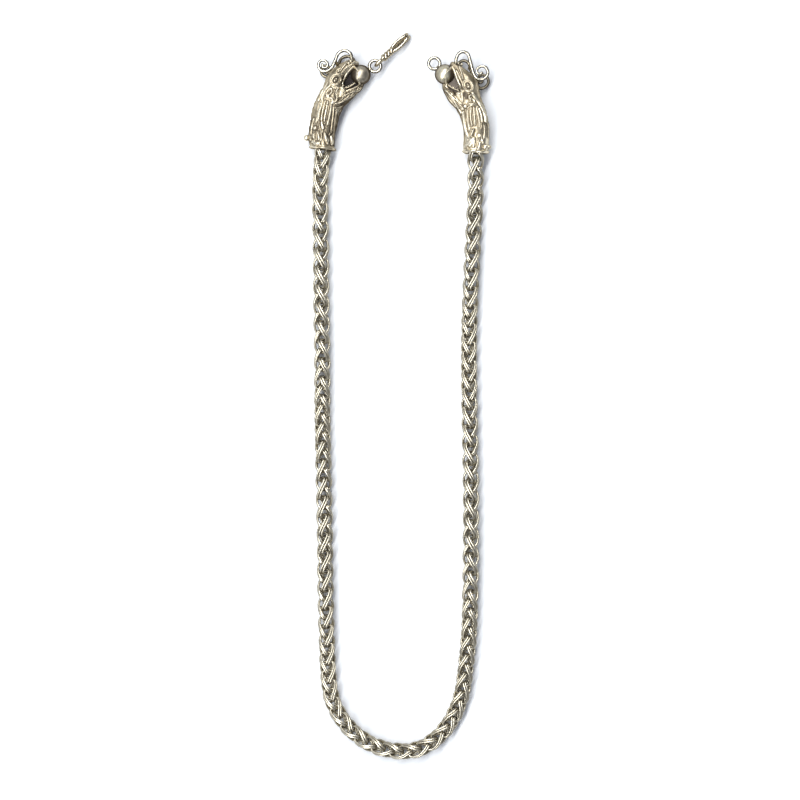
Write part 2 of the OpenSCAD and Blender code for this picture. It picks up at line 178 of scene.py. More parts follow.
RIGHT_STROKES = (
    (0.28, 0.28, 0.38, 2.67, 13.92, 2.52, 11.64, 2.3, 9.2, 1.94, 7.53),
    (0.3, 0.3, 0.42, 1.45, 14.84, 1.6, 12.25, 1.39, 10.12, 1.12, 8.94),
    (0.3, 0.3, 0.42, 0.54, 14.93, 0.44, 12.55, 0.23, 10.73, 0.11, 9.05),
    (0.28, 0.28, 0.38, -0.32, 14.84, -0.83, 12.55, -1.17, 10.42, -1.35, 8.59),
    (0.24, 0.22, 0.3, -1.29, 14.53, -1.96, 12.25, -2.2, 10.12),
    (0.34, 0.3, 0.45, 4.07, 13.53, 3.8, 11.2, 3.48, 8.8, 3.1, 6.8, 2.5, 5.5, 1.84, 4.75),
    (0.42, 0.32, 0.48, 1.33, 20.47, 0.32, 18.49, -1.11, 16.67, -2.33, 14.62, -3.18, 12.4, -3.42, 10.27),
    (0.24, 0.24, 0.3, 2.85, 14.75, 1.54, 15.54, 0.02, 15.66, -1.11, 14.93),
    (0.28, 0.28, 0.42, 1.33, 19.25, 2.12, 18.58, 1.75, 17.73, 0.78, 17.67, 0.35, 16.76, 1.02, 16.03, 2.12,
        16.15),
    (0.34, 0.38, 0.62, 0.64, 7.5, 0.95, 6.5, 1.28, 5.6),
    (0.6, 0.46, 0.6, 1.4, 4.4, 2.2, 3.3, 3.2, 2.3),
    (0.6, 0.42, 0.6, 0.65, 4.6, 0.4, 3.5, 0.6, 2.3),
    (0.75, 0.55, 0.5, 1.0, 4.2, 1.35, 3.4, 1.8, 2.5),
    (0.22, 0.24, 0.38, -1.1, 3.96, -0.75, 3.0, -0.45, 2.1),
    (0.24, 0.28, 0.42, -2.2, 4.1, -2.62, 3.1, -3.0, 2.45),
    (0.46, 0.4, 0.42, 3.34, 0.31, 0.78, 0.01, -1.81, 0.62),
    (0.22, 0.22, 0.24, 6.41, 27.48, 5.41, 25.34, 4.59, 23.21, 4.29, 21.47, 4.16, 20.44),
    (0.2, 0.2, 0.22, 5.5, 28.69, 4.74, 26.87, 4.19, 24.74),
    (0.2, 0.2, 0.22, 6.41, 19.92, 5.96, 18.04, 4.74, 16.06),
    (0.18, 0.18, 0.2, -2.87, 9.2, -3.06, 7.07, -2.81, 4.48),
    (0.18, 0.18, 0.2, -4.03, 10.12, -4.21, 7.68, -4.15, 5.24),
    (0.2, 0.2, 0.2, -1.96, 16.21, -2.57, 15.6, -3.42, 13.47),
    (0.18, 0.18, 0.2, 4.74, 12.25, 4.37, 9.51, 3.89, 6.77),
    (0.22, 0.2, 0.24, 7.78, 18.64, 6.2, 15.75, 4.8, 13.16),
    (0.2, 0.18, 0.22, 6.87, 18.95, 5.35, 16.21, 4.13, 14.38),
)
RIGHT_JAW_STROKES = (
    (0.26, 0.24, 0.34, 9.86, 22.3, 7.63, 20.47, 5.59, 19.71),
    (0.2, 0.2, 0.24, 9.98, 20.93, 8.09, 18.95, 5.65, 16.82),
    (0.18, 0.18, 0.2, 10.16, 20.02, 8.7, 17.73, 6.57, 15.29),
    (0.16, 0.16, 0.18, 8.94, 20.47, 8.27, 21.02),
    (0.16, 0.16, 0.18, 8.03, 19.56, 7.36, 20.23),
    (0.16, 0.16, 0.18, 7.11, 18.71, 6.38, 19.56),
)

# What differs from head to head, in the plane of the head; the right one is mirrored.
# Grains, the one on the edge, stains and rows of the pad: x, y, radius. Rings of the eye: half
# width, half length, radius of the wire, rise, tarnish. Tarnish: all over, on the neck, on the
# skull. Skin: how rough the casting is. Band: share of the short ridges over the upper lip.
# Shift: where the lower scroll lies against the upper one.
LEFT = {
    "side": "left", "foot": (-24.85, 82.6), "mirror": 1,
    "skull": LEFT_SKULL, "jaw": LEFT_JAW, "strokes": LEFT_STROKES, "jaw_strokes": LEFT_JAW_STROKES,
    "ball": (12.7, 25.1), "ball_tarnish": 0.38, "ring": (17.5, 28.0),
    "eye": (4.35, 23.1), "eye_turn": math.radians(40),
    "eye_rings": ((1.62, 1.95, 0.4, 0.02, 0.3), (0.68, 1.12, 0.17, 0.1, 0.95)),
    "pad": ((6.45, 20.3, 0.75), (6.55, 19.4, 1.2), (6.1, 18.3, 1.1), (5.25, 17.3, 0.5)),
    "stains": ((2.2, 19.1, 0.7), (2.2, 17.9, 0.5)),
    "tarnish": (-0.1, 0.26, 0.03), "foot_wear": 0.2, "jaw_tarnish": 0.2, "throat_darkening": 0.3,
    "mouth_tarnish": 0.95, "foot_lean": 0.11, "foot_drop": 0.0, "skin": 0.12, "band": 1.0,
    "shift": (0.8, -1.4),
    "scroll": ((9.78, 30.03), (9.27, 32.07), (7.33, 32.97), (5.29, 32.07), (4.15, 29.52),
        (2.97, 27.21), (0.93, 25.94), (-0.88, 26.71), (-1.41, 28.35), (-0.48, 29.66),
        (1.07, 29.39), (1.7, 28.22), (0.93, 27.21), (0.03, 27.58), (-0.11, 28.35)),
    "lip": ((10.45, 28.0), (9.0, 26.45), (7.7, 24.75), (6.75, 22.5), (6.7, 21.1)),
    "lower_lip": ((6.9, 20.5), (8.8, 20.95), (10.4, 22.0), (11.5, 23.1)),
    "fangs": (((10.5, 27.8), (11.2, 26.9), (11.85, 26.1)),
        ((12.3, 21.9), (12.05, 22.9), (11.8, 23.8))),
    "grains": ((-2.4, 6.95, 0.7), (5.45, 26.1, 0.42), (9.4, 29.45, 0.5), (8.75, 28.8, 0.42),
        (1.6, 1.9, 0.4), (3.1, 1.6, 0.34), (-3.9, 3.2, 0.4)),
    "edge": (-5.35, 4.0, 1.1),
}
RIGHT = {
    "side": "right", "foot": (26.3, 81.9), "mirror": -1,
    "skull": RIGHT_SKULL, "jaw": RIGHT_JAW, "strokes": RIGHT_STROKES,
    "jaw_strokes": RIGHT_JAW_STROKES,
    "ball": (10.3, 26.0), "ball_tarnish": 0.05, "ring": (13.8, 29.6),
    "eye": (2.6, 21.8), "eye_turn": math.radians(28),
    "eye_rings": ((1.55, 2.05, 0.4, 0.02, 0.3), (0.68, 1.15, 0.17, 0.1, 0.95)),
    "pad": ((5.55, 18.9, 1.15), (5.1, 17.9, 0.85), (4.6, 16.7, 0.5), (4.25, 15.8, 0.2)),
    "stains": ((3.45, 18.9, 1.2), (3.1, 17.7, 0.9)),
    "tarnish": (-0.1, 0.0, 0.1), "foot_wear": 0.34, "jaw_tarnish": -0.02, "throat_darkening": 0.15,
    "mouth_tarnish": 0.6, "foot_lean": -0.035, "foot_drop": 0.5, "skin": 0.07, "band": 0.0,
    "shift": (-0.3, -2.5),
    "scroll": ((6.6, 29.7), (6.45, 31.1), (5.66, 32.67), (4.12, 33.27), (2.62, 32.5),
        (2.01, 30.83), (1.38, 28.38), (0.77, 26.27), (-0.13, 24.73), (-1.67, 23.96),
        (-3.18, 24.6), (-4.08, 26.1), (-3.48, 27.94), (-1.97, 28.44), (-0.6, 27.64),
        (-0.43, 26.57), (-1.34, 25.8), (-2.11, 26.27)),
    "lip": ((7.8, 28.4), (6.9, 26.4), (6.0, 24.1), (5.1, 21.7), (4.65, 19.3), (4.4, 16.7)),
    "lower_lip": ((5.2, 20.3), (7.5, 21.2), (9.0, 22.2), (9.7, 23.0)),
    "fangs": (((7.95, 28.2), (8.8, 27.2), (9.6, 26.3)), ((9.75, 22.3), (9.85, 23.4), (9.95, 24.5))),
    "grains": ((-1.15, 5.1, 0.62), (-3.25, 1.45, 0.98), (3.45, 14.9, 0.62), (4.6, 29.3, 0.42),
        (5.9, 29.5, 0.4), (-1.0, 26.0, 0.36), (2.6, 1.0, 0.36)),
    "edge": (-4.5, 1.6, 0.8),
}
# height of the grained pad of the cheek, how flat it is, and the spacing of its grains
PAD_Z = 3.15
PAD_SQUASH = 0.6
PAD_GRID = (0.58, 0.5)

# the hook in its own plane, from the middle of its eye: direction, radius of the eye, place of the
# far bend and its radius, end of the way back, half the gap of the way back
HOOK_TURN = 43.5
EYE_RADIUS = 1.45
HOOK_LENGTH = 12.0
HOOK_RADIUS = 1.4
HOOK_END = 7.6
HOOK_BACK = 0.64
# the twisted shank: start and end, turns, points, radius of the wires and of their twist
SHANK = (1.75, 6.3)
SHANK_TURNS = 1.75
SHANK_STEPS = 60
SHANK_RADIUS = 0.62
# how far the eye stands below the middle plane of the heads, how far the hook reaches below the
# middle of its way back, and how far past the start of its far bend it lies on the floor
EYE_DROP = 0.1
HOOK_UNDER = 0.61
HOOK_REST = 0.4
# beyond the shank: distance from the eye, half the gap of the two strands
HOOK_GAP = ((6.3, 0.62), (7.6, 0.9), (9.2, 1.0), (10.6, 0.88), (11.6, 0.7), (12.4, 0.6), (13.4, 0.59))
# the wires are drawn a little thinner at rings and eyes, and a little thicker along the hook
RING_SHARE = 0.98
STRAND_SHARE = 1.06

# metals: colours when rubbed, on the flats and in the recesses, each a setting or a colour, how
# much lighter the recesses are (on the chain and the hook, painted light for the light that bounces
# into them), scale and strength of the patches, scale of the grain, roughness when rubbed and what
# the recesses add to it, height of the grain in metres; the recess colour also paints shade
METALS = {
    "Chain silver": ("silver", "warm", "recess", 1.8, 1100.0, 0.35, 4200.0, 0.31, 0.2, 0.000006),
    "Cast head silver": ("gilt", "gilt_flat", "recess", 1.0, 620.0, 0.6, 2600.0, 0.36, 0.2, 0.00005),
    "Rubbed head silver": ("gilt", "gilt_flat", "recess", 1.0, 900.0, 0.35, 2600.0, 0.38, 0.2, 0.00003),
    # painted shade for the wall inside the mouth
    "Mouth tarnish": ((0.28, 0.245, 0.215), (0.16, 0.138, 0.118), (0.035, 0.031, 0.03), 1.0,
        700.0, 0.4, 2600.0, 0.4, 0.3, 0.00008),
    "Drawn wire silver": ("silver", "warm", "recess", 1.0, 700.0, 0.25, 4200.0, 0.18, 0.3, 0.00002),
    "Ball silver": ((0.8, 0.74, 0.55), (0.43, 0.39, 0.31), "recess", 1.0,
        420.0, 0.4, 1800.0, 0.34, 0.2, 0.00003),
    "Hook silver": ("gilt", "gilt_flat", "recess", 1.8, 800.0, 0.35, 3600.0, 0.2, 0.3, 0.00002),
}

# the stage in metres: middle of the picture, width of the picture and the height at which it is
# measured, width of the camera's sensor in millimetres, half the side of the floor and how far it
# lies below the necklace
MIDDLE = (0.000855, -0.0013525, 0.0)
PICTURE_WIDTH = 0.268
PICTURE_HEIGHT = 0.004
SENSOR = 36.0
FLOOR_HALF = 3.0
FLOOR_DROP = 0.00002
# direction in which the room is brightest
BRIGHT_SIDE = (-0.50, 0.12, 0.857)


# lines


def spline(points, steps):
    """Rows on a smooth line through the given rows, steps to each stretch."""
    p = np.array(points, float)
    p = np.vstack([2 * p[0] - p[1], p, 2 * p[-1] - p[-2]])
    rows = []
    for i in range(len(p) - 3):
        a, b, c, d = p[i:i + 4]
        for t in np.arange(steps) / steps:
            rows.append(0.5 * (2 * b + (c - a) * t + (2 * a - 5 * b + 4 * c - d) * t * t
                + (3 * b - a - 3 * c + d) * t ** 3))
    rows.append(p[-2])
    return np.array(rows)


def run_of(points):
    """How far along a line each of its points lies."""
    return np.concatenate([[0.0], np.cumsum(np.linalg.norm(np.diff(points, axis=0), axis=1))])


def even(points, count):
    """Rows spread evenly over a line, measured on their first two or three columns."""
    p = np.array(points, float)
    run = run_of(p[:, :3])
    s = np.linspace(0.0, run[-1], count)
    return np.stack([np.interp(s, run, p[:, c]) for c in range(p.shape[1])], 1)


def circle(radius, count):
    """Points round a circle."""
    turns = np.linspace(0, math.tau, count, endpoint=False)
    return [(radius * math.cos(a), radius * math.sin(a)) for a in turns]


def unit(v):
    """Vectors at a length of one."""
    return v / np.linalg.norm(v, axis=-1, keepdims=True)


def ramp(value, start, width):
    """Rises from 0 at the start to 1, over a width that points up or down."""
    return np.clip((value - start) / width, 0, 1)


def path_distance(p, path):
    """Distance from points to a line in the plane, and how far along it the nearest place is."""
    path = np.array(path, float)[:, :2]
    run = run_of(path)
    run /= max(run[-1], 1e-9)
    best = np.full(len(p), 1e9)
    share = np.zeros(len(p))
    for i in range(len(path) - 1):
        ab = path[i + 1] - path[i]
        t = np.clip(((p - path[i]) @ ab) / max(ab @ ab, 1e-12), 0, 1)
        d = np.linalg.norm(p - path[i] - t[:, None] * ab, axis=1)
        near = d < best
        best[near] = d[near]
        share[near] = run[i] + t[near] * (run[i + 1] - run[i])
    return best, share


# pieces


def add_part(whole, part):
    """Moves the mesh of one bmesh into another."""
    mesh = bpy.data.meshes.new("part")
    part.to_mesh(mesh)
    part.free()
    whole.from_mesh(mesh)
    bpy.data.meshes.remove(mesh)


def finish_piece(name, bm, finish, nodes, levels=0):
    """Turns a bmesh in millimetres into a piece of one metal that rides with the model."""
    bmesh.ops.transform(bm, matrix=Matrix.Scale(MM, 4), verts=bm.verts)
    bmesh.ops.recalc_face_normals(bm, faces=bm.faces)
    mesh = bpy.data.meshes.new(name)
    bm.to_mesh(mesh)
    bm.free()
    mesh.polygons.foreach_set("use_smooth", [True] * len(mesh.polygons))
    mesh.materials.append(metal(finish))
    piece = bpy.data.objects.new(name, mesh)
    bpy.context.scene.collection.objects.link(piece)
    if levels:
        smooth = piece.modifiers.new("Smooth", "SUBSURF")
        smooth.levels = levels
        smooth.render_levels = levels
    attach(piece, "root")
    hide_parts(*nodes)


def set_tarnish_and_shade(bm, value):
    """Stores how dark the metal is painted, 0 where it is rubbed bright and 1 where darkest: tarnish in the
    recesses, and painted shade on flanks, inside the chain, between the jaws and in the mouth.
    """
    layer = bm.verts.layers.float.get("depth") or bm.verts.layers.float.new("depth")
    for k, v in enumerate(bm.verts):
        v[layer] = float(value[k]) if hasattr(value, "__len__") else value


def rings_along(points, closed):
    """One matrix to each point of a line, turning as little as it can."""
    p = [Vector(q) for q in points]
    n = len(p)
    way = []
    for i in range(n):
        a = p[i - 1] if closed or i else p[i]
        b = p[(i + 1) % n] if closed or i < n - 1 else p[i]
        way.append((b - a).normalized())
    up = way[0].orthogonal().normalized()
    places = []
    for i in range(n):
        if i:
            up = way[i - 1].rotation_difference(way[i]) @ up
        up = (up - way[i] * up.dot(way[i])).normalized()
        place = Matrix((way[i].cross(up), up, way[i])).transposed().to_4x4()
        place.translation = p[i]
        places.append(place)
    return places


def extrude(bm, edges, matrix):
    """Extrudes a ring of edges, moves what is new, and gives its points and edges."""
    made = bmesh.ops.extrude_edge_only(bm, edges=edges)["geom"]
    verts = [g for g in made if isinstance(g, bmesh.types.BMVert)]
    bmesh.ops.transform(bm, matrix=matrix, verts=verts)
    return verts, [g for g in made if isinstance(g, bmesh.types.BMEdge) and g.is_boundary]


def cap(end, before, radius):
    """Places and sizes that round off one end of a wire."""
    way = (Vector(end) - Vector(before)).normalized()
    return [(tuple(Vector(end) + way * radius * math.sin(a)), radius * math.cos(a)) for a in CAP_TURNS]


def wire(points, radius, sides, closed=False, depth=0.0):
    """A round wire along a line, drawn by extruding a circle, with rounded ends."""
    points = [tuple(map(float, p)) for p in points]
    radii = list(radius) if hasattr(radius, "__len__") else [radius] * len(points)
    if not closed:
        front = cap(points[0], points[1], radii[0])[::-1]
        back = cap(points[-1], points[-2], radii[-1])
        points = [q for q, _ in front] + points + [q for q, _ in back]
        radii = [r for _, r in front] + radii + [r for _, r in back]
    places = [m @ Matrix.Diagonal((r, r, r, 1)) for m, r in zip(rings_along(points, closed), radii)]
    bm = bmesh.new()
    bmesh.ops.create_circle(bm, cap_ends=False, segments=sides, radius=1.0, matrix=places[0])
    first = edges = bm.edges[:]
    for old, new in zip(places, places[1:]):
        _, edges = extrude(bm, edges, new @ old.inverted())
    if closed:
        bmesh.ops.bridge_loops(bm, edges=first + edges)
    else:
        bmesh.ops.holes_fill(bm, edges=[e for e in bm.edges if e.is_boundary], sides=sides)
    set_tarnish_and_shade(bm, depth)
    return bm


def outline(bm, top, flank_shade):
    """Leaves a wire bright along its two faces, with painted shade along its flanks, where it turns away
    from the top.
    """
    bm.normal_update()
    rise = np.abs([v.normal.z for v in bm.verts])
    # painted shade: darker as the wire's normal turns sideways
    set_tarnish_and_shade(bm, np.minimum(1.0, top + flank_shade * ramp(rise, 0.96, -0.26)))
    return bm


def grain(centre, radius, squash, around, depth):
    """A small cast ball."""
    bm = bmesh.new()
    bmesh.ops.create_uvsphere(bm, u_segments=around, v_segments=max(8, around // 2), radius=radius,
        matrix=Matrix.Translation(centre) @ Matrix.Diagonal((1, 1, squash, 1)))
    set_tarnish_and_shade(bm, depth)
    return bm


# chain

LINE = spline(ROUTE, 10)
ALONG = run_of(LINE)
TOTAL = float(ALONG[-1])
LINKS = int(2 * math.floor(TOTAL / PITCH_GOAL - 2 * REACH + 1))
PITCH = TOTAL / ((LINKS - 1) / 2 + 2 * REACH)
HALF_LENGTH = REACH * PITCH


def on_route(s):
    """Places on the centre line of the chain, s from its left end."""
    at = np.stack([np.interp(s, ALONG, LINE[:, k]) for k in range(3)], -1)
    at -= (MID_X, MID_Y, -CHAIN_LIFT)
    at[..., 1] -= np.minimum(at[..., 1], 0.0) * CHAIN_DRAW
    return at


def heading(s):
    """Direction of the chain at s."""
    return unit(on_route(np.minimum(s + HEADING_STEP, TOTAL)) - on_route(np.maximum(s - HEADING_STEP, 0.0)))


def wire_ring(rings, sides):
    """One wire of a link before it is bent: a plain ring of wire, spun from a circle."""
    bm = bmesh.new()
    bmesh.ops.create_circle(bm, cap_ends=False, segments=sides, radius=RING_WIRE,
        matrix=Matrix.Translation((1, 0, 0)) @ Matrix.Rotation(math.radians(90), 4, "X"))
    bmesh.ops.spin(bm, geom=bm.verts[:] + bm.edges[:], cent=(0, 0, 0), axis=(0, 0, 1),
        angle=math.tau, steps=rings, use_merge=True, use_duplicate=False)
    bmesh.ops.remove_doubles(bm, verts=bm.verts, dist=0.0001)
    return bm


def link_line(t, sizes):
    """Middle line of a link: each arm sweeps round the axis from one end loop to the other."""
    along, out = np.cos(t), np.sin(t)
    sweep = sizes.sweep * along
    reach = sizes.radius / MM * np.sign(out) * np.abs(out) ** LOOP_POWER
    return np.stack([-reach * np.sin(sweep), -reach * np.cos(sweep), HALF_LENGTH * along], -1)


def bend_link(ring, number, sizes, side):
    """Where the points of a plain ring go when it is bent into one wire of a link."""
    t = np.arctan2(ring[:, 1], ring[:, 0])
    out_from = (np.hypot(ring[:, 0], ring[:, 1]) - 1.0) / RING_WIRE
    up_from = -ring[:, 2] / RING_WIRE
    radius = sizes.wire / 2 / MM
    c = link_line(t, sizes)
    f = unit(link_line(t + 0.002, sizes) - link_line(t - 0.002, sizes))
    if number % 2:
        c, f = c[:, [1, 0, 2]], f[:, [1, 0, 2]]
    out = unit(c - f * np.sum(c * f, -1, keepdims=True))
    across = np.cross(f, out)
    # control points sit outside the smoothed wire
    normal = across * up_from[:, None] + out * out_from[:, None]
    o = across * (side * radius) + normal * (radius * sizes.grow)
    q = HALF_LENGTH + number * PITCH / 2 + c[:, 2]
    ahead = heading(q)
    a = np.radians(np.interp(q, *zip(*TURN)))[:, None]
    left = unit(np.cross([0, 0, 1.0], ahead))
    above = np.cross(ahead, left)
    ex = -left * np.cos(a) + above * np.sin(a)
    ey = -above * np.cos(a) - left * np.sin(a)
    at = c + o
    place = on_route(q) + ex * at[:, :1] + ey * at[:, 1:2] + ahead * o[:, 2:3]
    # rubbed along the two faces; painted shade on the flanks of the wires, where they turn away from the
    # top, and tarnish and painted shade inside the chain, where the wires lie in shade
    inner = ramp(np.hypot(at[:, 0], at[:, 1]), 1.6, -0.7)
    facing = np.abs((ex * normal[:, :1] + ey * normal[:, 1:2] + ahead * normal[:, 2:3])[:, 2])
    return place, np.maximum(inner * 0.9, ramp(facing, 0.72, -0.5) * 0.85)


def chain_half(side, first, last, sizes):
    """Half of the chain: links of two wires each, hooked through each other."""
    base = wire_ring(sizes.rings, sizes.sides)
    ring = np.array([v.co[:] for v in base.verts])
    mesh = bpy.data.meshes.new("link wire")
    base.to_mesh(mesh)
    base.free()
    mesh.attributes.new("depth", "FLOAT", "POINT")
    whole = bmesh.new()
    for number in range(first, last + 1):
        for strand in (-1, 1):
            place, depth = bend_link(ring, number, sizes, strand)
            mesh.vertices.foreach_set("co", place.ravel())
            mesh.attributes["depth"].data.foreach_set("value", depth)
            whole.from_mesh(mesh)
    bpy.data.meshes.remove(mesh)
    finish_piece(f"chain_{side}_links", whole, "Chain silver", (f"chain_{side}",), levels=1)


# heads


def finish_head(head, kind, bm, finish):
    """Moves a piece from the plane of its head to its place, and finishes it."""
    place = Matrix.Translation((head["foot"][0] - MID_X, head["foot"][1] - MID_Y, HEAD_Z)) @ \
        Matrix.Diagonal((head["mirror"], 1, 1, 1))
    bmesh.ops.transform(bm, matrix=place, verts=bm.verts)
    whole = head["side"] + "_head"
    finish_piece(f"{whole}_{kind}", bm, finish, (whole,))


def ring_place(row):
    """The ellipse of one row: x, y, heading, half width, half depth."""
    x, y, h, wide, deep = map(float, row)
    h = math.radians(h)
    return Matrix(((math.cos(h) * wide, 0, -math.sin(h), x),
        (-math.sin(h) * wide, 0, -math.cos(h), y), (0, deep, 0, 0), (0, 0, 0, 1)))


def cast_body(rows, sides, bore=None):
    """A closed body through rows of ellipses; a bore takes the end of the chain."""
    bm = bmesh.new()
    bmesh.ops.create_circle(bm, cap_ends=False, segments=sides, radius=1.0)
    around = bm.verts.layers.float.new("around")
    along = bm.verts.layers.float.new("along")
    for v in bm.verts:
        v[around] = math.atan2(v.co.y, v.co.x)
    places = [ring_place(r) for r in rows]
    bmesh.ops.transform(bm, matrix=places[0], verts=bm.verts)
    first = edges = bm.edges[:]
    for k, (old, new) in enumerate(zip(places, places[1:])):
        verts, edges = extrude(bm, edges, new @ old.inverted())
        for v in verts:
            v[along] = k + 1
    bmesh.ops.holes_fill(bm, edges=edges, sides=sides)
    inner = first
    if bore:
        radius, deep = bore
        centre = places[0].translation
        steps = ((radius / rows[0][3], CHAMFER), (1.0, deep - CHAMFER), (0.05, 0.0))
        for step, (scale, rise) in enumerate(steps):
            move = Vector((0, rise, 0))
            verts, inner = extrude(bm, inner, Matrix.Translation(centre + move)
                @ Matrix.Diagonal((scale, 1, scale, 1)) @ Matrix.Translation(-centre))
            centre = centre + move
            for v in verts:
                v[along] = -1 - step
    bmesh.ops.holes_fill(bm, edges=inner, sides=sides)
    bmesh.ops.recalc_face_normals(bm, faces=bm.faces)
    return bm


def ridges(p, strokes):
    """Height of rounded ridges at points of the plane, and of the grooves that set them off."""
    high = np.zeros(len(p))
    low = np.zeros(len(p))
    place, width, base, per_height = GROOVE
    for start, end, height, *numbers in strokes:
        line = np.reshape(numbers, (-1, 2))
        if len(line) > 2:
            line = spline(line, 5)
        reach = max(start, end) + 0.7
        box = np.all((p > line.min(0) - reach) & (p < line.max(0) + reach), 1)
        if not box.any():
            continue
        d, share = path_distance(p[box], line)
        wide = start + (end - start) * share
        up = height * np.sqrt(np.clip(1.0 - (d / wide) ** 2, 0, 1))
        dip = np.exp(-((d - place * wide) / width) ** 2) * (base + per_height * height)
        high[box] = np.maximum(high[box], up)
        low[box] = np.maximum(low[box], dip)
    return high, low


def scales_and_flutes(at, turn, back, throat, part):
    """Overlapping scales along the back, flutes along the throat."""
    count, height = FLUTES[part]
    flutes = throat * (height * np.cos(turn * count))
    if part == "jaw":
        return flutes
    pitch, rise, sink = SCALES
    y = at[:, 1]
    scale = np.abs(np.sin(np.pi * (y + 0.6 * np.abs(at[:, 2])) / pitch)) ** 0.6
    return back * ramp(y, 6.0, 1.5) * ramp(y, 25.0, -2.0) * (rise * scale - sink) \
        + ramp(y, 1.6, 1.0) * ramp(y, 18.5, -3.0) * flutes


def eye_masks(head, at, face):
    """The plain field that the eye lies in, and the hollow in its middle."""
    dx, dy = at[:, 0] - head["eye"][0], at[:, 1] - head["eye"][1]
    cos, sin = math.cos(head["eye_turn"]), math.sin(head["eye_turn"])
    across = dx * cos - dy * sin
    ahead = dx * sin + dy * cos
    field = ramp(np.hypot(across / 2.2, ahead / 2.6), 1.0, -0.15) * face
    bowl = ramp(np.hypot(across / 1.15, ahead / 1.55), 1.0, -0.25) * face
    return field, bowl


def between_jaws(head, at, normal):
    """Where the jaws face each other across the mouth, which is painted dark as shade."""
    eye, ball = np.array(head["eye"]) + (-0.2, 0.6), np.array(head["ball"])
    mouth = np.array((eye + (2.0, -2.0), 0.5 * (eye + (2.6, -3.4)) + 0.5 * (ball + (-1.6, -1.2)),
        ball + (-1.6, -0.6)))
    d, _ = path_distance(at[:, :2], mouth)
    toward = unit(mouth.mean(0) - at[:, :2])
    facing = np.sum(normal[:, :2] * toward, 1)
    return ramp(facing, 0.55, 0.25) * ramp(d, 4.2, -1.0)


def chase(bm, head, strokes, part, share):
    """Raises the ornament on a cast body and marks how dark each point is: tarnish, and painted shade."""
    bm.normal_update()
    at = np.array([v.co[:] for v in bm.verts])
    normal = np.array([v.normal[:] for v in bm.verts])
    around = bm.verts.layers.float["around"]
    along = bm.verts.layers.float["along"]
    turn = np.array([v[around] for v in bm.verts])
    row = np.array([v[along] for v in bm.verts])
    outside = row >= 0
    plane, y = at[:, :2], at[:, 1]
    face = ramp(np.abs(normal[:, 2]), 0.12, 0.3)
    high, low = ridges(plane + SEEN, strokes)
    relief = high * face - low * face * (1 - ramp(high, 0.0, 0.12))
    back = ramp(-np.cos(turn), 0.45, 0.3) * (1 - face * 0.6)
    throat = ramp(np.cos(turn), 0.4, 0.3) * (1 - face * 0.6)
    relief += scales_and_flutes(at, turn, back, throat, part)
    # the founder's skin all over
    shift = Vector((head["mirror"] * 7.0, 3.0, 0))
    relief += head["skin"] * np.array([noise.fractal(Vector(q) * 0.55 + shift, 0.9, 2.1, 4) for q in at])
    # short ridges across the band over the upper lip
    d, run = path_distance(plane, head["lip"])
    band = ramp(d, 0.35, 0.15) * ramp(d, 1.45, -0.2) * face * head["band"]
    relief = relief * (1 - 0.8 * band) + band * (0.03 + 0.11 * np.sin(run * math.tau * 13))
    # the eye lies in its field, and each cast grain in a small seat
    field, bowl = eye_masks(head, at, face)
    relief = relief * (1 - field) - 0.2 * bowl
    for x, y0, radius in head["grains"]:
        d = np.hypot(at[:, 0] - x, y - y0)
        relief -= 0.2 * np.exp(-((d - radius - 0.12) / 0.2) ** 2) * face
    relief = np.where(outside, relief, 0.0) * share
    moved = at + normal * relief[:, None]
    moved[:, 2] = np.clip(moved[:, 2], -BODY_TOP, BODY_TOP)
    # the foot leans: the left one lower towards the throat, the right one a little away from it
    if part == "skull":
        lean = (1 - ramp(y, 0.0, 4.5)) * (row >= -1)
        moved[:, 1] -= (head["foot_lean"] * at[:, 0] + head["foot_drop"]) * lean
        moved[:, 1] = np.maximum(moved[:, 1], -0.66)
    # tarnish: less on what stands high, more round the cheek; darker along the throat; painted shade on the
    # flanks, where the face turns away from the top
    whole, neck, skull = head["tarnish"]
    depth = 0.5 - relief * 1.9 + whole + neck * ramp(y, 15.0, -4.0) + skull * ramp(y, 16.0, 2.0)
    depth += head["jaw_tarnish"] * (part == "jaw") - head["foot_wear"] * ramp(y, 6.5, -2.5)
    padded = ramp(path_distance(plane, head["pad"])[0], 1.5, -0.5) * face
    # painted shade on the flanks, where the face turns away from the top
    depth += head["throat_darkening"] * throat + 0.25 * ramp(np.abs(normal[:, 2]), 0.55, -0.4)
    depth += 0.15 * padded - 0.3 * band - 0.2 * field
    depth = np.clip(np.maximum(depth, 0.75 * bowl), 0, 1)
    for x, y0, radius in head["stains"]:
        d = np.hypot(at[:, 0] - x, y - y0)
        depth = np.maximum(depth, 0.95 * ramp(d, radius, -0.4) * face * (1 - ramp(high, 0.0, 0.2)))
    rim = (y < 1.0) & outside & (part == "skull")
    depth[rim] = np.clip(depth[rim] - 0.25, 0, 1)
    # painted shade: the inside of the bore is fully dark
    depth[~outside] = 1.0
    # painted shade between the jaws, across the mouth
    depth = np.maximum(depth, between_jaws(head, at, normal) * (1 - padded))
    for v, co in zip(bm.verts, moved):
        v.co = co
    set_tarnish_and_shade(bm, depth)


def face_height(rows, x, y):
    """Height of the face of a body over a point of its plane."""
    fine = spline(rows, 12)
    h = np.radians(fine[:, 2])
    dx, dy = x - fine[:, 0], y - fine[:, 1]
    across = dx * np.cos(h) - dy * np.sin(h)
    ahead = np.abs(dx * np.sin(h) + dy * np.cos(h))
    k = int(np.argmin(ahead + 0.02 * np.abs(across)))
    share = min(0.97, abs(across[k]) / fine[k, 3])
    return float(fine[k, 4] * math.sqrt(1.0 - share * share))


def on_face(rows, path, lift, count):
    """A line laid on the face of a body."""
    return [(x, y, face_height(rows, x, y) + lift) for x, y in even(spline(path, 8), count)]


def round_tip(row, size):
    """Rows that round off the tip of a body beyond its last row."""
    x, y, turn, wide, deep = map(float, row)
    h = math.radians(turn)
    return [(x + math.sin(h) * size * math.sin(a), y + math.cos(h) * size * math.sin(a),
        turn, wide * math.cos(a), deep * math.cos(a)) for a in TIP_TURNS]


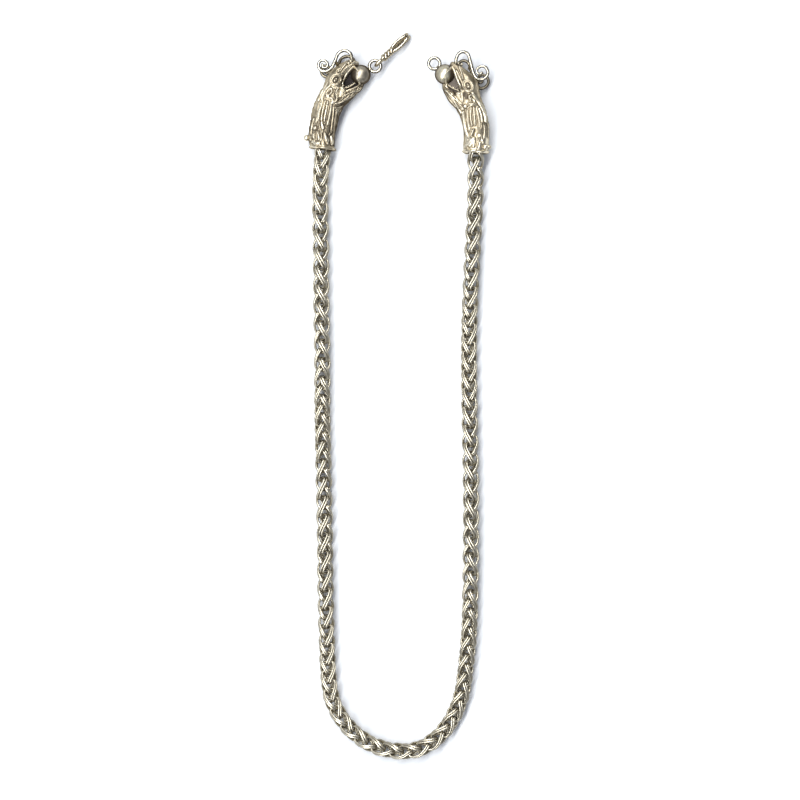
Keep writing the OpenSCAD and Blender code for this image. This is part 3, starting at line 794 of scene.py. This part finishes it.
def skull_rows(head, count):
    """The rows of the neck and skull, with the rolled rim at the foot and a round tip."""
    rows = even(spline(head["skull"], 10), count)
    x = rows[0][0]
    rim = ((0.2, 0.0, 4.0), (0.2, 0.1, 4.3), (0.3, 0.3, 4.52), (0.4, 0.5, 4.56), (0.5, 0.7, 4.48),
        (0.6, 0.88, 4.25), (0.8, 1.0, 4.08))
    foot = [(x * share, y, 0, radius, radius) for share, y, radius in rim]
    body = [tuple(r) for r in rows if r[1] > 1.15 or r[0] > 3]
    return foot + body + round_tip(body[-1], 0.55)


def jaw_rows(head, count):
    """The rows of the lower jaw, with a round tip."""
    rows = [tuple(r) for r in even(spline(head["jaw"], 10), count)]
    return rows + round_tip(rows[-1], 0.45)


def head_body(head, sizes):
    """Neck, skull and lower jaw, cast in one, with the ornament chased on both faces."""
    bm = cast_body(skull_rows(head, sizes.rows), sizes.sides, bore=BORE)
    chase(bm, head, head["strokes"], "skull", sizes.relief)
    jaw = cast_body(jaw_rows(head, sizes.rows // 3), sizes.sides * 2 // 3)
    chase(jaw, head, head["jaw_strokes"] + head["strokes"], "jaw", sizes.relief)
    add_part(bm, jaw)
    finish_head(head, "body", bm, "Cast head silver")


def add_eye(bm, head):
    """The two rings of the eye, and two bright grains in its almond."""
    cos, sin = math.cos(head["eye_turn"]), math.sin(head["eye_turn"])

    def place(across, ahead, rise):
        x = head["eye"][0] + across * cos + ahead * sin
        y = head["eye"][1] - across * sin + ahead * cos
        return x, y, face_height(head["skull"], x, y) + rise

    for wide, long, thick, rise, depth in head["eye_rings"]:
        path = [place(wide * across, long * ahead, rise) for across, ahead in circle(1.0, 40)]
        add_part(bm, wire(path, thick, 10, closed=True, depth=depth))
    for ahead, radius in ((0.42, 0.3), (-0.42, 0.38)):
        add_part(bm, grain(place(0.0, ahead, 0.02), radius, 0.8, 18, 0.0))


def add_tooth(bm, path, i, turn, length, inside):
    """A small tooth on a lip, its point turned into the mouth."""
    p = Vector(path[i])
    way = (Vector(path[min(i + 1, len(path) - 1)]) - Vector(path[i - 1])).normalized()
    into = Vector((-way.y, way.x, 0)) * turn
    if into.dot(inside - Vector((p.x, p.y, 0))) < 0:
        into = -into
    tooth = bmesh.new()
    aim = (into + Vector((0, 0, -0.35))).normalized()
    place = Matrix.Translation(p + into * 0.3 + Vector((0, 0, -0.1))) @ \
        aim.to_track_quat("Z", "Y").to_matrix().to_4x4()
    bmesh.ops.create_cone(tooth, cap_ends=True, segments=8, radius1=0.24, radius2=0.05,
        depth=length, matrix=place @ Matrix.Translation((0, 0, length / 2 - 0.15)))
    set_tarnish_and_shade(tooth, 0.1)
    add_part(bm, tooth)


def add_lips(bm, head):
    """The rolled lips of both jaws, and the teeth along them."""
    lip = on_face(head["skull"], head["lip"], 0.04, 36)
    radii = [0.36 + 0.1 * math.sin(math.pi * min(1.0, k / 35 * 1.1)) for k in range(36)]
    add_part(bm, wire(lip, radii, 12, depth=0.0))
    low = on_face(head["jaw"], head["lower_lip"], -0.05, 22)
    add_part(bm, wire(low, 0.22, 10, depth=0.3))
    inside = Vector((head["ball"][0] - 2.5, head["ball"][1] - 1.5, 0))
    for path, count, length, turn in ((lip[2:24], 7, 0.62, 1), (low[3:20], 6, 0.6, -1)):
        for k in range(count):
            add_tooth(bm, path, int((k + 0.5) * len(path) / count), turn, length, inside)


def add_fangs(bm, head, radius):
    """Fangs that lie on the ball and hold it."""
    bx, by = head["ball"]
    for path in head["fangs"]:
        points = []
        for x, y in even(spline(path, 8), 14):
            d = min(math.hypot(x - bx, y - by), radius)
            points.append((x, y, max(math.sqrt(max(radius * radius - d * d, 0.0)), 1.3) + 0.12))
        add_part(bm, wire(points, np.linspace(0.42, 0.18, 14), 10, depth=0.08))


def add_pad(bm, head):
    """The raised pad of the cheek, grained all over."""
    rows = even(spline(head["pad"], 8), 26)
    pad = wire([(x, y, 0.0) for x, y, _ in rows], rows[:, 2], 24, depth=0.12)
    bmesh.ops.transform(pad, verts=pad.verts,
        matrix=Matrix.Translation((0, 0, PAD_Z)) @ Matrix.Diagonal((1, 1, PAD_SQUASH, 1)))
    add_part(bm, pad)
    wide, long = PAD_GRID
    grid = np.array([(x + wide / 2 * (k % 2), y) for k, y in enumerate(np.arange(15.0, 21.6, long))
        for x in np.arange(3.4, 8.2, wide)])
    d, share = path_distance(grid, rows)
    reach = np.interp(share, np.linspace(0, 1, len(rows)), rows[:, 2])
    for (x, y), gap, r in zip(grid, d, reach):
        if gap < 0.92 * r:
            wob = noise.noise(Vector((x * 3.1, y * 3.1, 0.4)))
            z = PAD_Z + PAD_SQUASH * math.sqrt(r * r - gap * gap)
            place = (x + 0.06 * wob, y - 0.06 * wob, z - 0.04)
            add_part(bm, grain(place, 0.24 + 0.04 * wob, 1.0, 10, 0.0))


def head_ornament(head, sizes):
    """Eyes, lips, teeth, fangs, the grained cheek and the small balls, on both faces."""
    bm = bmesh.new()
    add_eye(bm, head)
    add_lips(bm, head)
    add_fangs(bm, head, sizes.ball / 2 / MM)
    add_pad(bm, head)
    for x, y, radius in head["grains"]:
        z = face_height(head["skull"], x, y) + 0.15 * radius
        add_part(bm, grain((x, y, z), radius, 1.0, 24, 0.02))
    other = bm.copy()
    bmesh.ops.transform(other, matrix=Matrix.Diagonal((1, 1, -1, 1)), verts=other.verts)
    bmesh.ops.reverse_faces(other, faces=other.faces)
    add_part(bm, other)
    x, y, radius = head["edge"]
    add_part(bm, grain((x, y, 0), radius, 1.0, 28, 0.08))
    for v in bm.verts:
        v.co.z = max(-ORNAMENT_TOP, min(ORNAMENT_TOP, v.co.z))
    finish_head(head, "ornament", bm, "Rubbed head silver")


def head_mouth(head):
    """The wall at the back of the open mouth, painted dark as the shade inside it."""
    (ex, ey), (bx, by) = head["eye"], head["ball"]
    corners = ((ex + 1.2, ey - 2.0), (ex + 3.2, ey - 5.2), (bx - 0.5, by - 3.6), (bx - 1.8, by + 3.0))
    half = 0.45
    bm = bmesh.new()
    face = bm.faces.new([bm.verts.new((x, y, -half)) for x, y in corners])
    made = bmesh.ops.extrude_face_region(bm, geom=[face])["geom"]
    verts = [g for g in made if isinstance(g, bmesh.types.BMVert)]
    bmesh.ops.translate(bm, vec=(0, 0, 2 * half), verts=verts)
    bmesh.ops.bevel(bm, geom=bm.edges[:], offset=0.2, offset_type="OFFSET", segments=2, profile=0.5,
        affect="EDGES", material=-1)
    bmesh.ops.subdivide_edges(bm, edges=bm.edges[:], cuts=5, use_grid_fill=True)
    for v in bm.verts:
        v.co.z += 0.18 * noise.noise(v.co * 0.9) * (1 if v.co.z > 0 else -1)
    # painted shade: the wall is as dark as the mouth's shade
    set_tarnish_and_shade(bm, head["mouth_tarnish"])
    finish_head(head, "mouth", bm, "Mouth tarnish")


def head_scrolls(head, sizes):
    """The two S scrolls of round wire, from the snout over the brow to the nape."""
    bm = bmesh.new()
    r = sizes.wire / 2 / MM
    line = even(spline(head["scroll"], 10), 110)
    count = len(line)
    foot = (line[0][0] - 0.3, line[0][1] - 1.4)
    # the lower scroll lies underneath, in shade, and is painted darker; both scrolls get painted shade on
    # their flanks
    for level, (sx, sy), top in ((SCROLL_Z, (0, 0), 0.08), (-SCROLL_Z, head["shift"], 0.62)):
        points = [(foot[0] + sx, foot[1] + sy, level * 0.35)]
        radii = [r]
        for k, (x, y) in enumerate(line):
            share = k / (count - 1)
            points.append((x + sx, y + sy, level * min(1.0, 0.72 + 3.5 * share)))
            radii.append(r * (1.0 - 0.22 * max(0.0, (share - 0.6) / 0.4)))
        points = even(spline(points, 2), 130)
        radii = np.interp(np.linspace(0, 1, 130), np.linspace(0, 1, count + 1), radii)
        add_part(bm, outline(wire(points, radii, 16), top, 0.9))
        # post from the straight into the skull
        x, y = line[int(count * 0.36)] + (sx, sy)
        add_part(bm, wire([(x, y, level), (x + 0.6, y - 1.2, level * 0.3)], r * 0.9, 12, depth=0.5))
    finish_head(head, "scrolls", bm, "Drawn wire silver")


def head_ball(head, sizes):
    """The polished ball in the jaws, and the ring soldered to it."""
    bx, by = head["ball"]
    centre = Vector((bx, by, 0))
    bm = bmesh.new()
    bmesh.ops.create_uvsphere(bm, u_segments=64, v_segments=40, radius=sizes.ball / 2 / MM,
        matrix=Matrix.Translation(centre))
    for v in bm.verts:
        v.co += (v.co - centre).normalized() * (0.035 * noise.noise(v.co * 0.8) - 0.03)
    bm.normal_update()
    # painted shade: the side of the ball inside the jaws and its rim, where it turns away from the top, are
    # darker
    inward = np.array([bx - v.co.x for v in bm.verts])
    rise = np.abs([v.normal.z for v in bm.verts])
    set_tarnish_and_shade(bm, np.clip(head["ball_tarnish"] + ramp(inward, 1.2, 0.9) + ramp(rise, 0.78, -0.5), 0, 1))
    finish_head(head, "ball", bm, "Ball silver")
    rx, ry = head["ring"]
    radius = sizes.ring / MM
    path = [(rx + x, ry + y, 0) for x, y in circle(radius, 56)]
    # painted shade along the flanks of the ring's wire
    bm = outline(wire(path, sizes.wire / 2 / MM * RING_SHARE, 16, closed=True), 0.1, 0.85)
    # solder between the ball and the ring
    joint = Vector((rx, ry, 0)) + Vector((bx - rx, by - ry, 0)).normalized() * (radius + 0.1)
    add_part(bm, grain(joint, 0.78, 0.9, 22, 0.35))
    finish_head(head, "ring", bm, "Drawn wire silver")


# hook


def hook_place(sizes):
    """The eye stands on the ring of the left ball, the far bend lies on the floor."""
    eye_z = HEAD_Z - EYE_DROP
    under = 2 * HOOK_RADIUS + HOOK_UNDER
    tilt = math.asin((eye_z - under) / (HOOK_LENGTH + HOOK_REST))
    turn = math.radians(HOOK_TURN)
    ring = sizes.ring / MM
    x = LEFT["foot"][0] + LEFT["ring"][0] + ring * math.cos(turn) - MID_X
    y = LEFT["foot"][1] + LEFT["ring"][1] + ring * math.sin(turn) - MID_Y
    return Matrix.Translation((x, y, eye_z)) @ Matrix.Rotation(turn, 4, "Z") @ Matrix.Rotation(tilt, 4, "Y")


def hook_piece(sizes):
    """One doubled wire: eye, two wires twisted round each other, hairpin bend, way back."""
    r = sizes.wire / 2 / MM * STRAND_SHARE
    gap_x, gap_y = spline(HOOK_GAP, 8).T
    start, end = SHANK
    rows = []
    for x in np.linspace(start, end, SHANK_STEPS):
        a = math.pi / 2 - math.tau * SHANK_TURNS * (end - x) / (end - start)
        rows.append((x, SHANK_RADIUS * math.sin(a), SHANK_RADIUS * math.cos(a), SHANK_RADIUS))
    for x in np.linspace(end + 0.2, HOOK_LENGTH, 18):
        rows.append((x, np.interp(x, gap_x, gap_y), 0, r))
    for a in np.radians(np.linspace(15, 165, 11)):
        x = HOOK_LENGTH + HOOK_RADIUS * math.sin(a)
        rows.append((x, np.interp(x, gap_x, gap_y), HOOK_RADIUS * math.cos(a) - HOOK_RADIUS, r))
    for x in np.linspace(HOOK_LENGTH, HOOK_END, 9):
        rows.append((x, HOOK_BACK, -2 * HOOK_RADIUS, r))
    one = np.array(rows)
    other = one * (1, -1, 1, 1)
    other[:SHANK_STEPS, 2] *= -1
    tip = [(HOOK_END - HOOK_BACK * math.sin(a), HOOK_BACK * math.cos(a), -2 * HOOK_RADIUS, r)
        for a in np.radians((30, 60, 90, 120, 150))]
    path = np.vstack([one, tip, other[::-1]])
    bm = wire(path[:, :3], path[:, 3], 16)
    eye = [(x, 0, z) for x, z in circle(EYE_RADIUS, 44)]
    add_part(bm, wire(eye, r * RING_SHARE, 16, closed=True))
    # painted shade along the flanks of the wires
    outline(bm, 0.02, 0.46)
    # painted light: the way back lies in the shade of the upper strands and is left bright all round
    layer = bm.verts.layers.float["depth"]
    for v in bm.verts:
        if v.co.z < -1.2 * HOOK_RADIUS and v.co.x < HOOK_LENGTH:
            v[layer] = 0.0
    bmesh.ops.transform(bm, matrix=hook_place(sizes), verts=bm.verts)
    finish_piece("hook_wire", bm, "Hook silver", ("hook",))


# finishes


def feed(tree, inputs, values):
    """Sets inputs of a node to constants, or links them to outputs of other nodes."""
    for key, value in values.items():
        if isinstance(value, (tuple, int, float)):
            inputs[key].default_value = value
        else:
            tree.links.new(value, inputs[key])


def node(tree, kind, inputs, **settings):
    """Adds a node, sets it, feeds its inputs and gives its outputs."""
    made = tree.nodes.new("ShaderNode" + kind)
    for key, value in settings.items():
        setattr(made, key, value)
    feed(tree, made.inputs, inputs)
    return made.outputs


def math_node(tree, operation, a, b, clamp=False):
    """One step of arithmetic."""
    return node(tree, "Math", {0: a, 1: b}, operation=operation, use_clamp=clamp)[0]


def mix_node(tree, share, a, b):
    """Mixes two colours."""
    return node(tree, "Mix", {0: share, 6: a, 7: b}, data_type="RGBA")[2]


def remap(tree, value, low, high, to_low=0.0, to_high=1.0):
    """A soft step between two values."""
    return node(tree, "MapRange", {"Value": value, "From Min": low, "From Max": high,
        "To Min": to_low, "To Max": to_high}, interpolation_type="SMOOTHSTEP")["Result"]


def noise_node(tree, scale, detail, rough, stretch=None):
    """Noise in the space of the object."""
    place = node(tree, "TexCoord", {})["Object"]
    if stretch:
        place = node(tree, "Mapping", {"Scale": stretch, "Vector": place})["Vector"]
    return node(tree, "TexNoise", {"Detail": detail, "Roughness": rough, "Vector": place,
        "Scale": scale})["Fac"]


def new_group(name, inputs, outputs):
    """A group of nodes with its sockets: name, kind and, for inputs, a value."""
    tree = bpy.data.node_groups.new(name, "ShaderNodeTree")
    for label, kind, value in inputs:
        made = tree.interface.new_socket(label, in_out="INPUT", socket_type="NodeSocket" + kind)
        made.default_value = value
    for label, kind in outputs:
        tree.interface.new_socket(label, in_out="OUTPUT", socket_type="NodeSocket" + kind)
    return tree, tree.nodes.new("NodeGroupInput").outputs, tree.nodes.new("NodeGroupOutput").inputs


def tarnish_group():
    """Colour of worn silver: bright where it is rubbed, warm on the flats, dark in the recesses and where
    shade is painted.
    """
    tree, given, result = new_group("Tarnished silver", (("Depth", "Float", 0.2),
        ("Rubbed", "Color", (0.85, 0.84, 0.8, 1)), ("Flat", "Color", (0.6, 0.55, 0.42, 1)),
        ("Recess", "Color", (0.08, 0.06, 0.04, 1)), ("Patch Scale", "Float", 900.0),
        ("Patch Amount", "Float", 0.3)), (("Color", "Color"), ("Depth", "Float")))
    broad = noise_node(tree, given["Patch Scale"], 4.0, 0.6)
    fine = noise_node(tree, math_node(tree, "MULTIPLY", given["Patch Scale"], 4.7), 2.0, 0.5)
    both = math_node(tree, "ADD", broad, math_node(tree, "MULTIPLY", fine, 0.45))
    patch = math_node(tree, "MULTIPLY", math_node(tree, "SUBTRACT", both, 0.72), given["Patch Amount"])
    depth = math_node(tree, "ADD", given["Depth"], patch, clamp=True)
    warm = mix_node(tree, remap(tree, depth, 0.05, 0.5), given["Rubbed"], given["Flat"])
    dark = mix_node(tree, remap(tree, depth, 0.5, 0.97), warm, given["Recess"])
    feed(tree, result, {"Color": dark, "Depth": depth})
    return tree


def grain_group():
    """Skin of hand worked metal: fine pits, a soft unevenness and hairline scratches."""
    tree, given, result = new_group("Worked metal", (("Depth", "Float", 0.2),
        ("Grain Scale", "Float", 3000.0), ("Base Roughness", "Float", 0.25),
        ("Recess Roughness", "Float", 0.35)), (("Height", "Float"), ("Roughness", "Float")))
    scale = given["Grain Scale"]
    pits = noise_node(tree, scale, 3.0, 0.55)
    soft = noise_node(tree, math_node(tree, "MULTIPLY", scale, 0.28), 2.0, 0.5)
    hair = noise_node(tree, math_node(tree, "MULTIPLY", scale, 0.5), 1.0, 0.5, (6.0, 0.5, 1.0))
    scratches = math_node(tree, "MULTIPLY", remap(tree, hair, 0.55, 0.7), 0.12)
    height = math_node(tree, "ADD", math_node(tree, "MULTIPLY", pits, 0.45),
        math_node(tree, "ADD", soft, scratches))
    rough = math_node(tree, "ADD", given["Base Roughness"],
        math_node(tree, "MULTIPLY", given["Depth"], given["Recess Roughness"]))
    uneven = math_node(tree, "MULTIPLY", math_node(tree, "SUBTRACT", pits, 0.5), 0.25)
    feed(tree, result, {"Height": height, "Roughness": math_node(tree, "ADD", rough, uneven, clamp=True)})
    return tree


def new_material(name):
    """A material with nodes, its tree and the inputs of its shader."""
    material = bpy.data.materials.new(name)
    material.use_nodes = True
    return material, material.node_tree, material.node_tree.nodes["Principled BSDF"].inputs


def metal(name):
    """One of the metals, made once, from the two shared groups."""
    if name in bpy.data.materials:
        return bpy.data.materials[name]
    settings = bpy.context.scene.necklace_finish
    *colours, lighter, patch_scale, patch_amount, grain_scale, rough, recess_rough, bump = METALS[name]
    rubbed, flat, recess = (getattr(settings, c) if isinstance(c, str) else c for c in colours)
    groups = bpy.data.node_groups
    material, tree, shader = new_material(name)
    depth = node(tree, "Attribute", {}, attribute_name="depth")["Fac"]
    tone = node(tree, "Group", {"Depth": depth, "Rubbed": (*rubbed, 1.0), "Flat": (*flat, 1.0),
        "Recess": (*(lighter * c for c in recess), 1.0), "Patch Scale": patch_scale,
        "Patch Amount": patch_amount}, node_tree=groups.get("Tarnished silver") or tarnish_group())
    skin = node(tree, "Group", {"Depth": tone["Depth"], "Grain Scale": grain_scale,
        "Base Roughness": rough, "Recess Roughness": recess_rough},
        node_tree=groups.get("Worked metal") or grain_group())
    lift = node(tree, "Bump", {"Distance": bump, "Strength": 1.0, "Height": skin["Height"]})
    feed(tree, shader, {"Metallic": 1.0, "Specular Tint": (0.30, 0.28, 0.25, 1.0),
        "Base Color": tone["Color"], "Roughness": skin["Roughness"], "Normal": lift["Normal"]})
    return material


def paper_floor(tint):
    """Pale matt paper with a faint tooth."""
    material, tree, shader = new_material("Pale paper")
    patches = remap(tree, noise_node(tree, 60.0, 3.0, 0.6), 0.3, 0.7)
    shade = tuple(c * 0.985 for c in tint)
    tooth = noise_node(tree, 900.0, 2.0, 0.5)
    feed(tree, shader, {"Specular IOR Level": 0.1,
        "Base Color": mix_node(tree, patches, (*tint, 1.0), (*shade, 1.0)),
        "Roughness": remap(tree, tooth, 0.0, 1.0, 0.75, 0.9)})
    return material


# settings that a user would change


def decimal(label, text, value, low, high, **more):
    """A number that a user may change."""
    return FloatProperty(name=label, description=text, default=value, min=low, max=high, **more)


def millimetres(label, text, value, low, high):
    """A length that a user may change, given in millimetres."""
    return decimal(label, text, value * MM, low * MM, high * MM, unit="LENGTH", precision=5)


def integer(label, text, value, low, high):
    """A count that a user may change."""
    return IntProperty(name=label, description=text, default=value, min=low, max=high)


def rgb(label, text, value):
    """A colour that a user may change."""
    return FloatVectorProperty(name=label, description=text, default=value, min=0, max=1, subtype="COLOR")


class NecklaceChain(bpy.types.PropertyGroup):
    """Sizes of the chain"""
    wire: millimetres("Wire", "Thickness of each of the two wires of a link", 0.80, 0.3, 1.2)
    radius: millimetres("Radius", "Distance from the axis of the chain to the wires", 2.45, 1.5, 3)
    sweep: decimal("Sweep", "How far an arm of a link turns round the axis from its middle to its end",
        math.radians(52), 0.5, 1.6, subtype="ANGLE")
    grow: decimal("Control size", "Size of the control shape against the smoothed wire",
        1.15, 1.0, 1.3, subtype="FACTOR")
    rings: integer("Rings", "Facets along a wire before it is smoothed", 22, 12, 40)
    sides: integer("Sides", "Facets round a wire before it is smoothed", 6, 5, 10)


class NecklaceHeads(bpy.types.PropertyGroup):
    """Sizes of the heads and their wire work"""
    rows: integer("Rows", "Rows of facets along the neck and skull", 250, 60, 320)
    sides: integer("Sides", "Facets round the neck", 168, 48, 220)
    relief: decimal("Relief", "Height of the chased ornament, as a share of its full height",
        1.0, 0.0, 1.3, subtype="FACTOR")
    ball: millimetres("Ball", "Diameter of the ball in the jaws", 6.8, 4, 9)
    wire: millimetres("Wire", "Thickness of the wire of scrolls, rings and hook", 1.1, 0.6, 1.6)
    ring: millimetres("Ring", "Radius of the ring on a ball, to the middle of its wire", 1.9, 1.2, 3)


class NecklaceFinish(bpy.types.PropertyGroup):
    """Colours of the metal"""
    silver: rgb("Silver", "Rubbed silver of the chain and wires", (0.74, 0.69, 0.56))
    warm: rgb("Warm silver", "Worn flats of the chain", (0.385, 0.343, 0.248))
    gilt: rgb("Gilt", "Rubbed high parts of the heads", (0.80, 0.73, 0.57))
    gilt_flat: rgb("Gilt flats", "Flats of the heads", (0.49, 0.42, 0.295))
    # the recess colour also paints shade on flanks, inside the chain, between the jaws and in the mouth
    recess: rgb("Recess", "Tarnish in the recesses", (0.12, 0.10, 0.075))


class NecklaceStage(bpy.types.PropertyGroup):
    """Light, floor and camera"""
    key: decimal("Key light", "Power of the soft light at the upper left", 18.0, 0, 100, unit="POWER")
    fill: decimal("Fill light", "Power of the weak light at the lower right", 0.3, 0, 100, unit="POWER")
    sky: rgb("Ceiling", "Colour of the room overhead and to the left", (0.49, 0.52, 0.60))
    walls: rgb("Walls", "Colour of the room low down and to the right", (0.10, 0.105, 0.125))
    floor: rgb("Floor", "Colour of the floor", (0.92, 0.95, 0.985))
    lens: decimal("Lens", "Focal length of the camera", 160.0, 20, 300, unit="CAMERA")


# operators


class NECKLACE_OT_chain(bpy.types.Operator):
    """Make the two halves of the wheat chain"""
    bl_idname = "necklace.chain"
    bl_label = "Wheat chain"

    def execute(self, context):
        chain_half("left", 0, LINKS // 2 - 1, context.scene.necklace_chain)
        chain_half("right", LINKS // 2, LINKS - 1, context.scene.necklace_chain)
        return {"FINISHED"}


class NECKLACE_OT_heads(bpy.types.Operator):
    """Make the cast necks, skulls and jaws"""
    bl_idname = "necklace.heads"
    bl_label = "Cast heads"

    def execute(self, context):
        for head in (LEFT, RIGHT):
            head_body(head, context.scene.necklace_heads)
        return {"FINISHED"}


class NECKLACE_OT_ornament(bpy.types.Operator):
    """Make the eyes, lips, teeth and grains of the heads"""
    bl_idname = "necklace.ornament"
    bl_label = "Eyes, lips and grains"

    def execute(self, context):
        for head in (LEFT, RIGHT):
            head_ornament(head, context.scene.necklace_heads)
            head_mouth(head)
        return {"FINISHED"}


class NECKLACE_OT_scrolls(bpy.types.Operator):
    """Make the wire scrolls of the heads"""
    bl_idname = "necklace.scrolls"
    bl_label = "Wire scrolls"

    def execute(self, context):
        for head in (LEFT, RIGHT):
            head_scrolls(head, context.scene.necklace_heads)
        return {"FINISHED"}


class NECKLACE_OT_balls(bpy.types.Operator):
    """Make the balls and their rings"""
    bl_idname = "necklace.balls"
    bl_label = "Balls and rings"

    def execute(self, context):
        for head in (LEFT, RIGHT):
            head_ball(head, context.scene.necklace_heads)
        return {"FINISHED"}


class NECKLACE_OT_hook(bpy.types.Operator):
    """Make the doubled wire hook"""
    bl_idname = "necklace.hook"
    bl_label = "Wire hook"

    def execute(self, context):
        hook_piece(context.scene.necklace_heads)
        return {"FINISHED"}


def add_floor(scene, tint):
    """A wide sheet of paper, a hair below the necklace."""
    bm = bmesh.new()
    bmesh.ops.create_grid(bm, x_segments=1, y_segments=1, size=FLOOR_HALF,
        matrix=Matrix.Translation((0, 0, -FLOOR_DROP)))
    mesh = bpy.data.meshes.new("floor")
    bm.to_mesh(mesh)
    bm.free()
    mesh.materials.append(paper_floor(tint))
    floor = bpy.data.objects.new("floor", mesh)
    scene.collection.objects.link(floor)


def add_lamp(scene, name, place, size, power, tint):
    """A soft lamp that looks at the middle of the picture."""
    lamp = bpy.data.lights.new(name, "AREA")
    lamp.shape = "RECTANGLE"
    lamp.size, lamp.size_y = size
    lamp.energy = power
    lamp.color = tint
    obj = bpy.data.objects.new(name, lamp)
    obj.location = place
    obj.rotation_euler = (Vector(MIDDLE) - Vector(place)).to_track_quat("-Z", "X").to_euler()
    scene.collection.objects.link(obj)


def add_room(scene, walls, sky):
    """Soft light from all round, brighter overhead and to the left."""
    world = bpy.data.worlds.new("room")
    world.use_nodes = True
    tree = world.node_tree
    there = node(tree, "TexCoord", {})["Generated"]
    side = node(tree, "VectorMath", {0: there, 1: BRIGHT_SIDE}, operation="DOT_PRODUCT")["Value"]
    tint = mix_node(tree, remap(tree, side, 0.15, 0.95), (*walls, 1.0), (*sky, 1.0))
    feed(tree, tree.nodes["Background"].inputs, {"Color": tint})
    scene.world = world


def add_camera(scene, lens):
    """A camera straight over the necklace, as in the photo."""
    camera = bpy.data.cameras.new("camera")
    camera.lens = lens
    camera.sensor_width = SENSOR
    camera.clip_start = 0.01
    camera.clip_end = 20.0
    view = bpy.data.objects.new("camera", camera)
    view.location = Vector(MIDDLE) + Vector((0, 0, PICTURE_WIDTH * lens / SENSOR + PICTURE_HEIGHT))
    scene.collection.objects.link(view)
    scene.camera = view


class NECKLACE_OT_stage(bpy.types.Operator):
    """Set the floor, the lights and the camera"""
    bl_idname = "necklace.stage"
    bl_label = "Stage"

    def execute(self, context):
        scene = context.scene
        given = scene.necklace_stage
        add_floor(scene, given.floor)
        add_lamp(scene, "key light", (-0.27, 0.12, 0.86), (0.2, 2.6), given.key, (1.0, 0.99, 0.965))
        add_lamp(scene, "fill light", (0.55, -0.45, 0.75), (0.2, 0.2), given.fill, (1.0, 1.0, 1.0))
        add_room(scene, given.walls, given.sky)
        add_camera(scene, given.lens)
        scene.view_settings.view_transform = "Standard"
        return {"FINISHED"}


class NECKLACE_PT_panel(bpy.types.Panel):
    """Sizes, finishes and pieces of the necklace"""
    bl_idname = "NECKLACE_PT_panel"
    bl_label = "Necklace"
    bl_space_type = "VIEW_3D"
    bl_region_type = "UI"
    bl_category = "Necklace"

    def draw(self, context):
        for title, group, _, names in GROUPS:
            box = self.layout.box()
            box.label(text=title)
            settings = getattr(context.scene, group)
            for key in settings.bl_rna.properties.keys():
                if key not in ("rna_type", "name"):
                    box.prop(settings, key)
            for name in names:
                box.operator("necklace." + name)


# title in the panel, settings, their class, operators
GROUPS = (
    ("Chain", "necklace_chain", NecklaceChain, ("chain",)),
    ("Heads", "necklace_heads", NecklaceHeads, ("heads", "ornament", "scrolls", "balls", "hook")),
    ("Finish", "necklace_finish", NecklaceFinish, ()),
    ("Stage", "necklace_stage", NecklaceStage, ("stage",)),
)
CLASSES = (NecklaceChain, NecklaceHeads, NecklaceFinish, NecklaceStage, NECKLACE_OT_chain,
    NECKLACE_OT_heads, NECKLACE_OT_ornament, NECKLACE_OT_scrolls, NECKLACE_OT_balls,
    NECKLACE_OT_hook, NECKLACE_OT_stage, NECKLACE_PT_panel)


def register():
    for item in CLASSES:
        bpy.utils.register_class(item)
    for _, group, kind, _ in GROUPS:
        setattr(bpy.types.Scene, group, PointerProperty(type=kind))


def unregister():
    for _, group, _, _ in GROUPS:
        delattr(bpy.types.Scene, group)
    for item in reversed(CLASSES):
        bpy.utils.unregister_class(item)


def main():
    register()
    bpy.ops.necklace.stage()
    bpy.ops.necklace.chain()
    bpy.ops.necklace.heads()
    bpy.ops.necklace.ornament()
    bpy.ops.necklace.scrolls()
    bpy.ops.necklace.balls()
    bpy.ops.necklace.hook()


if __name__ == "__main__":
    main()
